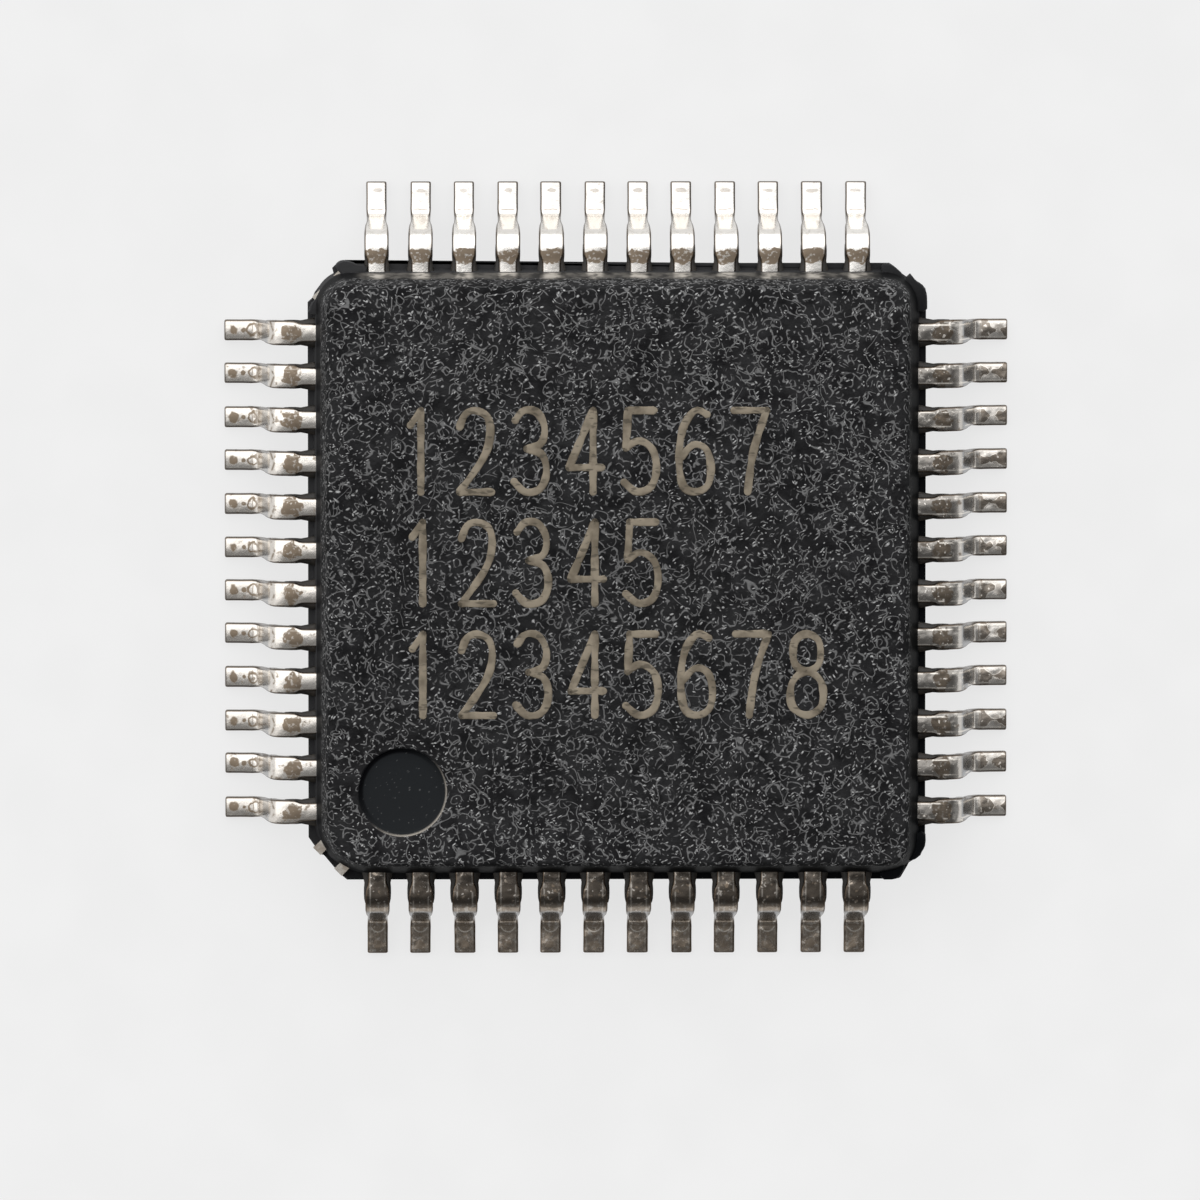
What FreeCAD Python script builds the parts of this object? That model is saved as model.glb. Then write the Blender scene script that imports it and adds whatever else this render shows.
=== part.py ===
import FreeCAD, Part
import math
import os
import Sketcher

# A flat square package for a board: a moulded body with twelve formed leads on each side.
# Millimetres. X runs to the right and Y away from the viewer, with the round dimple at the
# near left corner. Z is up, and its zero is the plane that the lead feet stand on.

LEADS_PER_SIDE = 12
MIDDLE_PLACE = (LEADS_PER_SIDE - 1) / 2
SIDE_NAMES = ("near", "right", "far", "left")
FIRST_SIDE_ANGLE = -90

# Driving dimensions: millimetres, and degrees where the name ends in angle.
SIZES = {
    # Formed leads
    "lead_pitch": 0.5,
    "tip_reach_across": 1.065,
    "tip_reach_along": 1.015,
    "lead_thickness": 0.127,
    "bend_radius": 0.1,
    "shank_angle": 75,
    "foot_flat": 0.31,
    "foot_width": 0.235,
    "neck_width": 0.22,
    "stub_width": 0.28,
    "root_width": 0.212,
    "neck_from_tip": 0.46,
    "stub_from_tip": 0.53,
    "stub_end_from_tip": 0.78,
    # Moulded body
    "standoff": 0.1,
    "lower_depth": 0.637,
    "upper_depth": 0.763,
    "corner_margin": 0.685,
    "ledge": 0.105,
    "draft_angle": 12,
    "corner_chamfer": 0.45,
    "corner_radius": 0.42,
    "marked_corner_radius": 0.65,
    "edge_chamfer": 0.06,
    "flash_depth": 0.06,
    "dimple_diameter": 1.0,
    "dimple_depth": 0.06,
    "dimple_inset": 0.97,
    # Lead fingers inside the moulding
    "finger_reach": 2.15,
    "finger_corner": 0.39,
    "finger_width": 0.16,
    # Paddle and its tie bars
    "paddle_width": 3.5,
    "paddle_downset": 0.2,
    "tie_bar_width": 0.2,
    "tie_bar_run": 0.45,
    "prong_width": 0.12,
    "prong_spread": 0.34,
    "prong_length": 0.46,
    "tie_bar_inset": 0.158,
    # Die, its adhesive and the bond wires
    "die_width": 2.6,
    "die_thickness": 0.28,
    "adhesive_thickness": 0.03,
    "wire_diameter": 0.03,
    "bond_corner": 0.2,
    "wire_inset": 0.12,
    "wire_landing": 0.1,
    "wire_rise": 0.13,
}


class Size:
    """A length with its formula in the sheet's names and its value beside it."""

    def __init__(self, text, value):
        self.text = text
        self.value = value

    def joined(self, sign, other, value):
        return Size("(" + self.text + " " + sign + " " + other.text + ")", value)

    def __add__(self, other):
        other = as_size(other)
        return self.joined("+", other, self.value + other.value)

    def __sub__(self, other):
        other = as_size(other)
        return self.joined("-", other, self.value - other.value)

    def __mul__(self, other):
        other = as_size(other)
        return self.joined("*", other, self.value * other.value)

    def __truediv__(self, other):
        other = as_size(other)
        return self.joined("/", other, self.value / other.value)

    def __neg__(self):
        return self * -1

    def __radd__(self, other):
        return as_size(other) + self

    def __rsub__(self, other):
        return as_size(other) - self

    def __rmul__(self, other):
        return as_size(other) * self


def as_size(number):
    """A plain number as a Size; a Size stays as it is."""
    if isinstance(number, Size):
        return number
    return Size("(" + format(number, ".9f") + ")", number)


def named(alias):
    return Size("Sizes." + alias, SIZES[alias])


def make_sheet(doc):
    """The spreadsheet of driving dimensions: names in column A, numbers in column B."""
    sheet = doc.addObject("Spreadsheet::Sheet", "Sizes")
    for row, (alias, value) in enumerate(SIZES.items(), start=1):
        sheet.set("A" + str(row), alias)
        sheet.set("B" + str(row), str(value))
        sheet.setAlias("B" + str(row), alias)
    doc.recompute()
    return sheet


DOC = FreeCAD.newDocument("flat_pack")
SHEET = make_sheet(DOC)

# Heights and reaches that several pieces share
PARTING = named("standoff") + named("lower_depth")
LEAD_TOP = PARTING + named("lead_thickness")
BODY_TOP = PARTING + named("upper_depth")
PADDLE_UNDER = PARTING - named("paddle_downset")
PADDLE_TOP = PADDLE_UNDER + named("lead_thickness")
DIE_UNDER = PADDLE_TOP + named("adhesive_thickness")
DIE_TOP = DIE_UNDER + named("die_thickness")
# The body is as wide as its leads need, and the leads reach out from its upper half
HALF_UPPER = named("lead_pitch") * MIDDLE_PLACE + named("corner_margin")
HALF_LOWER = HALF_UPPER + named("ledge")
TIPS = (HALF_UPPER + named("tip_reach_along"), HALF_UPPER + named("tip_reach_across"))
# Fingers and bonds spread evenly between the corners they keep clear of
FINGER_PITCH = (named("finger_reach") - named("finger_corner")) / MIDDLE_PLACE
BOND_PITCH = (named("die_width") / 2 - named("bond_corner")) / MIDDLE_PLACE
# The forked tie bars end just inside the upper half's square corner, along the diagonal
TIE_BAR_CUT = HALF_UPPER * math.sqrt(2) - named("tie_bar_inset")


def vector(x, y, z=0):
    return FreeCAD.Vector(x, y, z)


def new_body(label):
    """An empty body under its own label."""
    body = DOC.addObject("PartDesign::Body", label)
    body.Label = label
    return body


def new_sketch(body, name, plane, lift=None):
    """A sketch on one of the body's own origin planes, raised along its normal by lift."""
    sketch = body.newObject("Sketcher::SketchObject", name)
    for feature in body.Origin.OriginFeatures:
        if feature.Role == plane:
            sketch.AttachmentSupport = [(feature, "")]
    sketch.MapMode = "FlatFace"
    if lift is not None:
        sketch.setExpression("AttachmentOffset.Base.z", lift.text)
        sketch.AttachmentOffset = FreeCAD.Placement(vector(0, 0, lift.value), FreeCAD.Rotation())
    return sketch


def bind(sketch, constraint, size):
    """Add a dimension to a sketch and tie it to the sheet by the size's formula."""
    index = sketch.addConstraint(constraint)
    name = "size_" + str(index)
    sketch.renameConstraint(index, name)
    sketch.setExpression("Constraints." + name, size.text)


def place_point(sketch, edge, end, x, y):
    """Fix one end of an edge by its distances from the sketch's origin."""
    bind(sketch, Sketcher.Constraint("DistanceX", -1, 1, edge, end, x.value), x)
    bind(sketch, Sketcher.Constraint("DistanceY", -1, 1, edge, end, y.value), y)


def add_outline(sketch, corners):
    """A closed outline of straight edges, each corner placed by its formulas."""
    first = sketch.GeometryCount
    corners = [(as_size(x), as_size(y)) for x, y in corners]
    count = len(corners)
    for (x, y), (next_x, next_y) in zip(corners, corners[1:] + corners[:1]):
        start = vector(x.value, y.value)
        end = vector(next_x.value, next_y.value)
        sketch.addGeometry(Part.LineSegment(start, end), False)
    for step, (x, y) in enumerate(corners):
        following = first + (step + 1) % count
        sketch.addConstraint(Sketcher.Constraint("Coincident", first + step, 2, following, 1))
        place_point(sketch, first + step, 1, x, y)


def add_circle(sketch, x, y, diameter):
    """A circle placed by its centre and its diameter."""
    circle = Part.Circle(vector(x.value, y.value), vector(0, 0, 1), diameter.value / 2)
    edge = sketch.addGeometry(circle, False)
    place_point(sketch, edge, 3, x, y)
    bind(sketch, Sketcher.Constraint("Diameter", edge, diameter.value), diameter)


def add_pad(body, name, sketch, length, reversed_way=False, both_ways=False, taper=None):
    """Build a sketch out into a solid, with drafted sides where a taper is given."""
    pad = body.newObject("PartDesign::Pad", name)
    pad.Profile = sketch
    pad.Reversed = reversed_way
    if both_ways:
        pad.SideType = "Symmetric"
    pad.setExpression("Length", length.text)
    if taper is not None:
        pad.setExpression("TaperAngle", taper.text)
    DOC.recompute()
    return pad


def add_pocket(body, name, sketch, length, reversed_way=False, both_ways=False):
    """Cut a sketch into the body, and stop if the cut takes nothing away."""
    before = body.Tip.Shape.Volume
    pocket = body.newObject("PartDesign::Pocket", name)
    pocket.Profile = sketch
    pocket.Reversed = reversed_way
    if both_ways:
        pocket.SideType = "Symmetric"
    pocket.setExpression("Length", length.text)
    DOC.recompute()
    if pocket.Shape.Volume >= before:
        raise RuntimeError(body.Label + ": " + name + " cuts nothing")


def level_edges(shape, height):
    """Names of the edges that lie flat at one height."""
    names = []
    for index, edge in enumerate(shape.Edges, start=1):
        box = edge.BoundBox
        if abs(box.ZMin - height) < 1e-5 and abs(box.ZMax - height) < 1e-5:
            names.append("Edge" + str(index))
    return names


def break_edges(body, name, height):
    """Break every edge of the body that lies flat at one height."""
    base = body.Tip
    chamfer = body.newObject("PartDesign::Chamfer", name)
    chamfer.Base = (base, level_edges(base.Shape, height.value))
    chamfer.setExpression("Size", named("edge_chamfer").text)
    DOC.recompute()


# Formed leads

def side_angle(side):
    return FIRST_SIDE_ANGLE + 90 * side


def lead_profile(body, reach):
    """The gull wing seen from the side: shoulder, two bends of one radius, shank and foot."""
    sketch = new_sketch(body, "side_profile", "XZ_Plane")
    inner = named("bend_radius")
    outer = inner + named("lead_thickness")
    thickness = SIZES["lead_thickness"]
    turn = SIZES["shank_angle"]
    slope = math.radians(turn)
    root = HALF_UPPER.value
    tip = reach.value
    heel = tip - SIZES["foot_flat"]
    low_centre = vector(heel, outer.value)
    high_level = LEAD_TOP.value - outer.value
    radii = inner.value + outer.value
    straight = (high_level - low_centre.y + radii * math.cos(slope)) / math.sin(slope)
    across = radii * math.sin(slope) + straight * math.cos(slope)
    high_centre = vector(heel - across, high_level)

    def arc(centre, radius, start, end):
        circle = Part.Circle(centre, vector(0, 0, 1), radius)
        return Part.ArcOfCircle(circle, math.radians(start), math.radians(end))

    def on_arc(centre, radius, angle):
        way = math.radians(angle)
        return centre + vector(radius * math.cos(way), radius * math.sin(way))

    high_start = 90 - turn
    low_start = 270 - turn
    corners = (
        vector(root, LEAD_TOP.value),
        vector(high_centre.x, LEAD_TOP.value),
        on_arc(high_centre, outer.value, high_start),
        on_arc(low_centre, inner.value, low_start),
        vector(heel, thickness),
        vector(tip, thickness),
        vector(tip, 0),
        vector(heel, 0),
        on_arc(low_centre, outer.value, low_start),
        on_arc(high_centre, inner.value, high_start),
        vector(high_centre.x, PARTING.value),
        vector(root, PARTING.value),
    )
    sketch.addGeometry([
        Part.LineSegment(corners[0], corners[1]),
        arc(high_centre, outer.value, high_start, 90),
        Part.LineSegment(corners[2], corners[3]),
        arc(low_centre, inner.value, low_start, 270),
        Part.LineSegment(corners[4], corners[5]),
        Part.LineSegment(corners[5], corners[6]),
        Part.LineSegment(corners[6], corners[7]),
        arc(low_centre, outer.value, low_start, 270),
        Part.LineSegment(corners[8], corners[9]),
        arc(high_centre, inner.value, high_start, 90),
        Part.LineSegment(corners[10], corners[11]),
        Part.LineSegment(corners[11], corners[0]),
    ], False)
    shoulder, high_outer, shank, low_inner, foot, tip_edge = range(6)
    sole, low_outer, shank_back, high_inner, shoulder_back, root_edge = range(6, 12)
    tangents = (
        (shoulder, 2, high_outer, 2),
        (high_outer, 1, shank, 1),
        (shank, 2, low_inner, 1),
        (low_inner, 2, foot, 1),
        (sole, 2, low_outer, 2),
        (low_outer, 1, shank_back, 1),
        (shank_back, 2, high_inner, 1),
        (high_inner, 2, shoulder_back, 1),
    )
    for joint in tangents:
        sketch.addConstraint(Sketcher.Constraint("Tangent", *joint))
    meetings = (
        (foot, 2, tip_edge, 1),
        (tip_edge, 2, sole, 1),
        (shoulder_back, 2, root_edge, 1),
        (root_edge, 2, shoulder, 1),
        (high_outer, 3, high_inner, 3),
        (low_outer, 3, low_inner, 3),
    )
    for joint in meetings:
        sketch.addConstraint(Sketcher.Constraint("Coincident", *joint))
    for edge in (shoulder, foot, sole, shoulder_back):
        sketch.addConstraint(Sketcher.Constraint("Horizontal", edge))
    for edge in (tip_edge, root_edge):
        sketch.addConstraint(Sketcher.Constraint("Vertical", edge))
    for edge, radius in ((high_outer, outer), (low_inner, inner), (low_outer, outer), (high_inner, inner)):
        bind(sketch, Sketcher.Constraint("Radius", edge, radius.value), radius)
    fall = -named("shank_angle") * Size("1 deg", 1)
    bind(sketch, Sketcher.Constraint("Angle", shank, -slope), fall)
    bind(sketch, Sketcher.Constraint("DistanceX", foot, 1, foot, 2, SIZES["foot_flat"]), named("foot_flat"))
    place_point(sketch, shoulder, 1, HALF_UPPER, LEAD_TOP)
    place_point(sketch, tip_edge, 2, reach, as_size(0))
    return sketch


def lead_trim(body, reach):
    """What is punched away on both sides of a lead: foot, neck, bar stub and tapered root."""
    sketch = new_sketch(body, "plan_trim", "XY_Plane")
    spare = named("stub_width")
    outline = (
        (HALF_UPPER - spare, spare),
        (HALF_UPPER - spare, named("root_width") / 2),
        (HALF_UPPER, named("root_width") / 2),
        (reach - named("stub_end_from_tip"), named("stub_width") / 2),
        (reach - named("stub_from_tip"), named("stub_width") / 2),
        (reach - named("neck_from_tip"), named("neck_width") / 2),
        (reach - named("foot_flat"), named("foot_width") / 2),
        (reach + spare, named("foot_width") / 2),
        (reach + spare, spare),
    )
    add_outline(sketch, outline)
    add_outline(sketch, [(x, -y) for x, y in outline])
    return sketch


def lead_finger(body, offset):
    """The finger inside the moulding, which turns from the lead towards the die."""
    sketch = new_sketch(body, "finger_plan", "XY_Plane", PARTING)
    aside = (FINGER_PITCH - named("lead_pitch")) * offset
    half_tip = named("finger_width") / 2
    half_root = named("root_width") / 2
    add_outline(sketch, (
        (named("finger_reach"), aside - half_tip),
        (HALF_UPPER, -half_root),
        (HALF_UPPER, half_root),
        (named("finger_reach"), aside + half_tip),
    ))
    return sketch


def make_lead(number):
    """One lead with its finger, numbered anticlockwise from the dimple's corner."""
    side, place = divmod(number - 1, LEADS_PER_SIDE)
    offset = place - MIDDLE_PLACE
    reach = TIPS[side % 2]
    body = new_body("lead_" + format(number, "02d"))
    profile = lead_profile(body, reach)
    add_pad(body, "strip", profile, named("stub_width"), both_ways=True)
    trim = lead_trim(body, reach)
    add_pocket(body, "trimmed", trim, LEAD_TOP * 2 + named("lead_thickness"), both_ways=True)
    finger = lead_finger(body, offset)
    add_pad(body, "finger", finger, named("lead_thickness"))
    angle = side_angle(side)
    turned = FreeCAD.Rotation(vector(0, 0, 1), angle)
    body.Placement = FreeCAD.Placement(vector(0, 0, 0), turned)
    along = named("lead_pitch") * offset
    sine = round(math.sin(math.radians(angle)))
    cosine = round(math.cos(math.radians(angle)))
    body.setExpression("Placement.Base.x", (along * -sine).text)
    body.setExpression("Placement.Base.y", (along * cosine).text)
    return body


# Paddle that carries the die, with its four tie bars

def make_paddle():
    """The paddle and its forked tie bars, drawn with the bars along X and Y, then turned."""
    body = new_body("die_paddle")
    corner = named("paddle_width") / 2 * math.sqrt(2)
    plate = new_sketch(body, "plate_plan", "XY_Plane", PADDLE_UNDER)
    nought = as_size(0)
    add_outline(plate, ((corner, nought), (nought, corner), (-corner, nought), (nought, -corner)))
    add_pad(body, "plate", plate, named("lead_thickness"))

    bar = new_sketch(body, "bar_profile", "XZ_Plane")
    start = corner - named("tie_bar_width")
    head = corner + named("tie_bar_run")
    bar_end = TIE_BAR_CUT - named("prong_length")
    add_outline(bar, (
        (start, PADDLE_UNDER),
        (corner, PADDLE_UNDER),
        (head, PARTING),
        (bar_end, PARTING),
        (bar_end, LEAD_TOP),
        (head, LEAD_TOP),
        (corner, PADDLE_TOP),
        (start, PADDLE_TOP),
    ))
    tie_bar = add_pad(body, "tie_bar", bar, named("tie_bar_width"), both_ways=True)

    fork = new_sketch(body, "fork_plan", "XY_Plane", PARTING)
    cut = TIE_BAR_CUT
    outer = (named("prong_spread") + named("prong_width")) / 2
    inner = (named("prong_spread") - named("prong_width")) / 2
    crossing = bar_end + named("prong_width")
    add_outline(fork, (
        (bar_end, -outer),
        (cut, -outer),
        (cut, -inner),
        (crossing, -inner),
        (crossing, inner),
        (cut, inner),
        (cut, outer),
        (bar_end, outer),
    ))
    prongs = add_pad(body, "prongs", fork, named("lead_thickness"))

    pattern = body.newObject("PartDesign::PolarPattern", "four_bars")
    pattern.Originals = [tie_bar, prongs]
    for feature in body.Origin.OriginFeatures:
        if feature.Role == "Z_Axis":
            pattern.Axis = (feature, [""])
    pattern.Angle = 360
    pattern.Occurrences = 4
    body.Tip = pattern
    DOC.recompute()
    body.Placement = FreeCAD.Placement(vector(0, 0, 0), FreeCAD.Rotation(vector(0, 0, 1), 45))
    return body


# Die, adhesive and bond wires

def make_block(label, width, thickness, under):
    """A square plate centred on the Z axis."""
    block = DOC.addObject("Part::Box", label)
    block.Label = label
    block.setExpression("Length", width.text)
    block.setExpression("Width", width.text)
    block.setExpression("Height", thickness.text)
    block.setExpression("Placement.Base.x", (-width / 2).text)
    block.setExpression("Placement.Base.y", (-width / 2).text)
    block.setExpression("Placement.Base.z", under.text)
    return block


def wire_shape(offset):
    """One wire of the side that faces +X: up from the die, then down to a slanting stitch."""
    thick = SIZES["wire_diameter"]
    bond = vector(SIZES["die_width"] / 2 - SIZES["wire_inset"], BOND_PITCH.value * offset)
    fan = (SIZES["lead_pitch"] - FINGER_PITCH.value) / (HALF_UPPER.value - SIZES["finger_reach"])
    stitch_y = (FINGER_PITCH.value + fan * SIZES["wire_landing"]) * offset
    stitch = vector(SIZES["finger_reach"] + SIZES["wire_landing"], stitch_y)
    run = (stitch - bond).Length
    top = DIE_TOP.value + SIZES["wire_rise"]
    slope = math.atan2(top - LEAD_TOP.value, run)
    side = (
        (0, DIE_TOP.value),
        (thick, DIE_TOP.value),
        (thick, top - thick * (math.tan(slope) + 1 / math.cos(slope))),
        (run - thick / math.sin(slope), LEAD_TOP.value),
        (run, LEAD_TOP.value),
        (0, top),
    )
    corners = [vector(along, -thick / 2, height) for along, height in side]
    face = Part.Face(Part.makePolygon(corners + corners[:1]))
    wire = face.extrude(vector(0, thick, 0))
    heading = math.degrees(math.atan2(stitch.y - bond.y, stitch.x - bond.x))
    wire.rotate(vector(0, 0, 0), vector(0, 0, 1), heading)
    wire.translate(bond)
    return wire


def make_wires(side):
    """The twelve bond wires of one side, as separate solids."""
    wires = [wire_shape(place - MIDDLE_PLACE) for place in range(LEADS_PER_SIDE)]
    group = DOC.addObject("Part::Feature", "bond_wires_" + SIDE_NAMES[side])
    group.Label = "bond_wires_" + SIDE_NAMES[side]
    group.Shape = Part.makeCompound(wires)
    turned = FreeCAD.Rotation(vector(0, 0, 1), side_angle(side))
    group.Placement = FreeCAD.Placement(vector(0, 0, 0), turned)
    return group


# Moulded body

def rounded_square(sketch, half, radii):
    """A square with four corner arcs, whose radii run anticlockwise from the near left corner."""
    signs = ((-1, -1), (1, -1), (1, 1), (-1, 1))
    size = half.value
    arcs = []
    for step, ((x_way, y_way), radius) in enumerate(zip(signs, radii)):
        centre = vector(x_way * (size - radius.value), y_way * (size - radius.value))
        start = math.radians(180 + 90 * step)
        circle = Part.Circle(centre, vector(0, 0, 1), radius.value)
        arcs.append(sketch.addGeometry(Part.ArcOfCircle(circle, start, start + math.pi / 2), False))
    sides = []
    for step in range(4):
        this_arc = sketch.Geometry[arcs[step]]
        next_arc = sketch.Geometry[arcs[(step + 1) % 4]]
        sides.append(sketch.addGeometry(Part.LineSegment(this_arc.EndPoint, next_arc.StartPoint), False))
    for step in range(4):
        following = arcs[(step + 1) % 4]
        sketch.addConstraint(Sketcher.Constraint("Tangent", arcs[step], 2, sides[step], 1))
        sketch.addConstraint(Sketcher.Constraint("Tangent", sides[step], 2, following, 1))
        level = "Horizontal" if step % 2 == 0 else "Vertical"
        sketch.addConstraint(Sketcher.Constraint(level, sides[step]))
        bind(sketch, Sketcher.Constraint("Radius", arcs[step], radii[step].value), radii[step])
    near, right, far, left = sides
    bind(sketch, Sketcher.Constraint("DistanceY", -1, 1, near, 1, -size), -half)
    bind(sketch, Sketcher.Constraint("DistanceY", -1, 1, far, 1, size), half)
    bind(sketch, Sketcher.Constraint("DistanceX", -1, 1, left, 1, -size), -half)
    bind(sketch, Sketcher.Constraint("DistanceX", -1, 1, right, 1, size), half)


def chamfered_square(half, chamfer):
    """Corners of a square with its four corners cut off."""
    near = half - chamfer
    return (
        (-near, -half), (near, -half), (half, -near), (half, near),
        (near, half), (-near, half), (-half, near), (-half, -near),
    )


# Flash left at three corners, as outlines of distances in from the two sides of the lower half
FAR_LEFT_FLASH = (
    (0.28, 0.22), (0.28, 0.06), (0.34, 0.0), (0.43, -0.04), (0.52, 0.0), (0.60, 0.05), (0.56, 0.22),
)
FAR_RIGHT_FLASH = (
    (0.24, 0.24), (0.24, 0.17), (0.18, 0.12), (0.14, 0.18), (0.05, 0.23), (0.0, 0.35), (0.0, 0.51),
    (0.14, 0.51),
)
NEAR_RIGHT_FLASH = (
    (0.24, 0.54), (0.0, 0.54), (0.0, 0.38), (0.03, 0.36), (0.05, 0.27), (0.19, 0.19),
    (0.30, 0.0), (0.54, 0.0), (0.54, 0.24),
)


def add_flash(body, name, x_way, y_way, insets):
    """A thin lump of flash at one corner, in the level of the lead frame."""
    sketch = new_sketch(body, name + "_plan", "XY_Plane", PARTING - named("flash_depth"))
    corners = []
    for across, along in insets:
        corners.append(((HALF_LOWER - across) * x_way, (HALF_LOWER - along) * y_way))
    add_outline(sketch, corners)
    add_pad(body, name, sketch, named("flash_depth") + named("lead_thickness"))


def make_moulding():
    """The two drafted halves of the moulding, solid, before what it holds is taken out."""
    body = new_body("moulded_form")
    taper = -named("draft_angle")

    lower = new_sketch(body, "lower_plan", "XY_Plane", PARTING)
    add_outline(lower, chamfered_square(HALF_LOWER, named("corner_chamfer")))
    add_pad(body, "lower_half", lower, named("lower_depth"), reversed_way=True, taper=taper)

    upper = new_sketch(body, "upper_plan", "XY_Plane", PARTING)
    plain = named("corner_radius")
    rounded_square(upper, HALF_UPPER, (named("marked_corner_radius"), plain, plain, plain))
    add_pad(body, "upper_half", upper, named("upper_depth"), taper=taper)
    break_edges(body, "upper_edges", BODY_TOP)

    add_flash(body, "far_left_flash", -1, 1, FAR_LEFT_FLASH)
    add_flash(body, "far_right_flash", 1, 1, FAR_RIGHT_FLASH)
    add_flash(body, "near_right_flash", 1, -1, NEAR_RIGHT_FLASH)

    dimple = new_sketch(body, "dimple_plan", "XY_Plane", BODY_TOP)
    away = -(HALF_UPPER - named("dimple_inset"))
    add_circle(dimple, away, away, named("dimple_diameter"))
    add_pocket(body, "dimple", dimple, named("dimple_depth"))
    return body


def make_moulded_body(form, held):
    """The moulding with an exact seat for every piece that it holds."""
    inside = DOC.addObject("Part::MultiFuse", "held_pieces")
    inside.Shapes = held
    moulded = DOC.addObject("Part::Cut", "moulded_body")
    moulded.Label = "moulded_body"
    moulded.Base = form
    moulded.Tool = inside
    DOC.recompute()
    return moulded


def check_document():
    """Stop if any object of the document failed to build."""
    for item in DOC.Objects:
        if "Invalid" in item.State or "Error" in item.State:
            raise RuntimeError("failed: " + item.Label)


def write_parts(pieces):
    """Write each piece to its own file, once its shape is sound."""
    for piece in pieces:
        shape = piece.Shape
        if shape.isNull() or not shape.isValid() or not shape.Solids:
            raise RuntimeError("unsound shape: " + piece.Label)
    os.makedirs("parts", exist_ok=True)
    for piece in pieces:
        piece.Shape.exportStep("parts/" + piece.Label + ".step")
        print(piece.Label, len(piece.Shape.Solids), "solids", round(piece.Shape.Volume, 6), "mm3")


def main():
    leads = [make_lead(number) for number in range(1, 4 * LEADS_PER_SIDE + 1)]
    paddle = make_paddle()
    adhesive = make_block("die_adhesive", named("die_width"), named("adhesive_thickness"), PADDLE_TOP)
    die = make_block("die", named("die_width"), named("die_thickness"), DIE_UNDER)
    wires = [make_wires(side) for side in range(4)]
    held = leads + [paddle, adhesive, die] + wires
    moulded = make_moulded_body(make_moulding(), held)
    DOC.recompute()
    check_document()
    write_parts([moulded] + held)


main()
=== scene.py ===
"""Dresses the CAD solids of a 48-lead quad flat pack chip: moulding, leads, flash, marking and studio."""

import math
from functools import partial
from types import SimpleNamespace

import bmesh
import bpy
from bpy.props import FloatProperty, FloatVectorProperty, IntProperty, PointerProperty
from mathutils import Matrix, Vector


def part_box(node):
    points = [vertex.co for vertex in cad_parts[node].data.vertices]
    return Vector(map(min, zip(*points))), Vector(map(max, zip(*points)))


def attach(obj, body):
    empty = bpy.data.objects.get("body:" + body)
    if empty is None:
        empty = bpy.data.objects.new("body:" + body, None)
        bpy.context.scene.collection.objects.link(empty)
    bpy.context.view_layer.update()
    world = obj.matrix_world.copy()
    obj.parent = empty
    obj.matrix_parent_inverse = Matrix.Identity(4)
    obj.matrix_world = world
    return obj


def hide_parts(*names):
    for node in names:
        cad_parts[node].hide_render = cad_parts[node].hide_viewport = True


bl_info = {
    "name": "Quad flat pack chip",
    "version": (1, 0, 0),
    "blender": (4, 5, 0),
    "location": "View3D > Sidebar > Chip",
    "description": "Builds the finished look of a 48-lead quad flat pack chip around its CAD solids",
    "category": "Object",
}

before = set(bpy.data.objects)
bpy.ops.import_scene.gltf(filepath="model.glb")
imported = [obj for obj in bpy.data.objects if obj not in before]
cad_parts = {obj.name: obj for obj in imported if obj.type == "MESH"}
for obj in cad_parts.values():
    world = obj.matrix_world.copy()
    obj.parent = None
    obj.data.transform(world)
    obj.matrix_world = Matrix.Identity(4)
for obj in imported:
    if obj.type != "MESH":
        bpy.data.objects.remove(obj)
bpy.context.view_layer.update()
MM = 0.001
SIDES = 4
LEADS_PER_SIDE = 12
LEAD_NODES = [f"lead_{number:02d}" for number in range(1, SIDES * LEADS_PER_SIDE + 1)]

# Sockets of the Mix node when it mixes colours.
MIX_FACTOR = 0
MIX_FIRST = 6
MIX_SECOND = 7
MIX_RESULT = 2


# Sizes and colours a user would change.


def linear(hex_colour):
    """Turn an sRGB hex value into linear red, green, blue and alpha."""
    channels = [int(hex_colour[place:place + 2], 16) / 255 for place in (1, 3, 5)]
    turned = [c / 12.92 if c <= 0.04045 else ((c + 0.055) / 1.055) ** 2.4 for c in channels]
    return (*turned, 1.0)


def length(name, description, millimetres):
    """A length property, given in millimetres and kept in metres."""
    return FloatProperty(
        name=name,
        description=description,
        default=millimetres * MM,
        min=0.0,
        precision=6,
        unit="LENGTH",
    )


def degrees(name, description, angle):
    """An angle property, given in degrees."""
    return FloatProperty(
        name=name,
        description=description,
        default=math.radians(angle),
        subtype="ANGLE",
    )


def colour(name, description, hex_colour):
    """A colour property, given as an sRGB hex value."""
    return FloatVectorProperty(
        name=name,
        description=description,
        default=linear(hex_colour),
        size=4,
        min=0.0,
        max=1.0,
        subtype="COLOR",
    )


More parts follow.
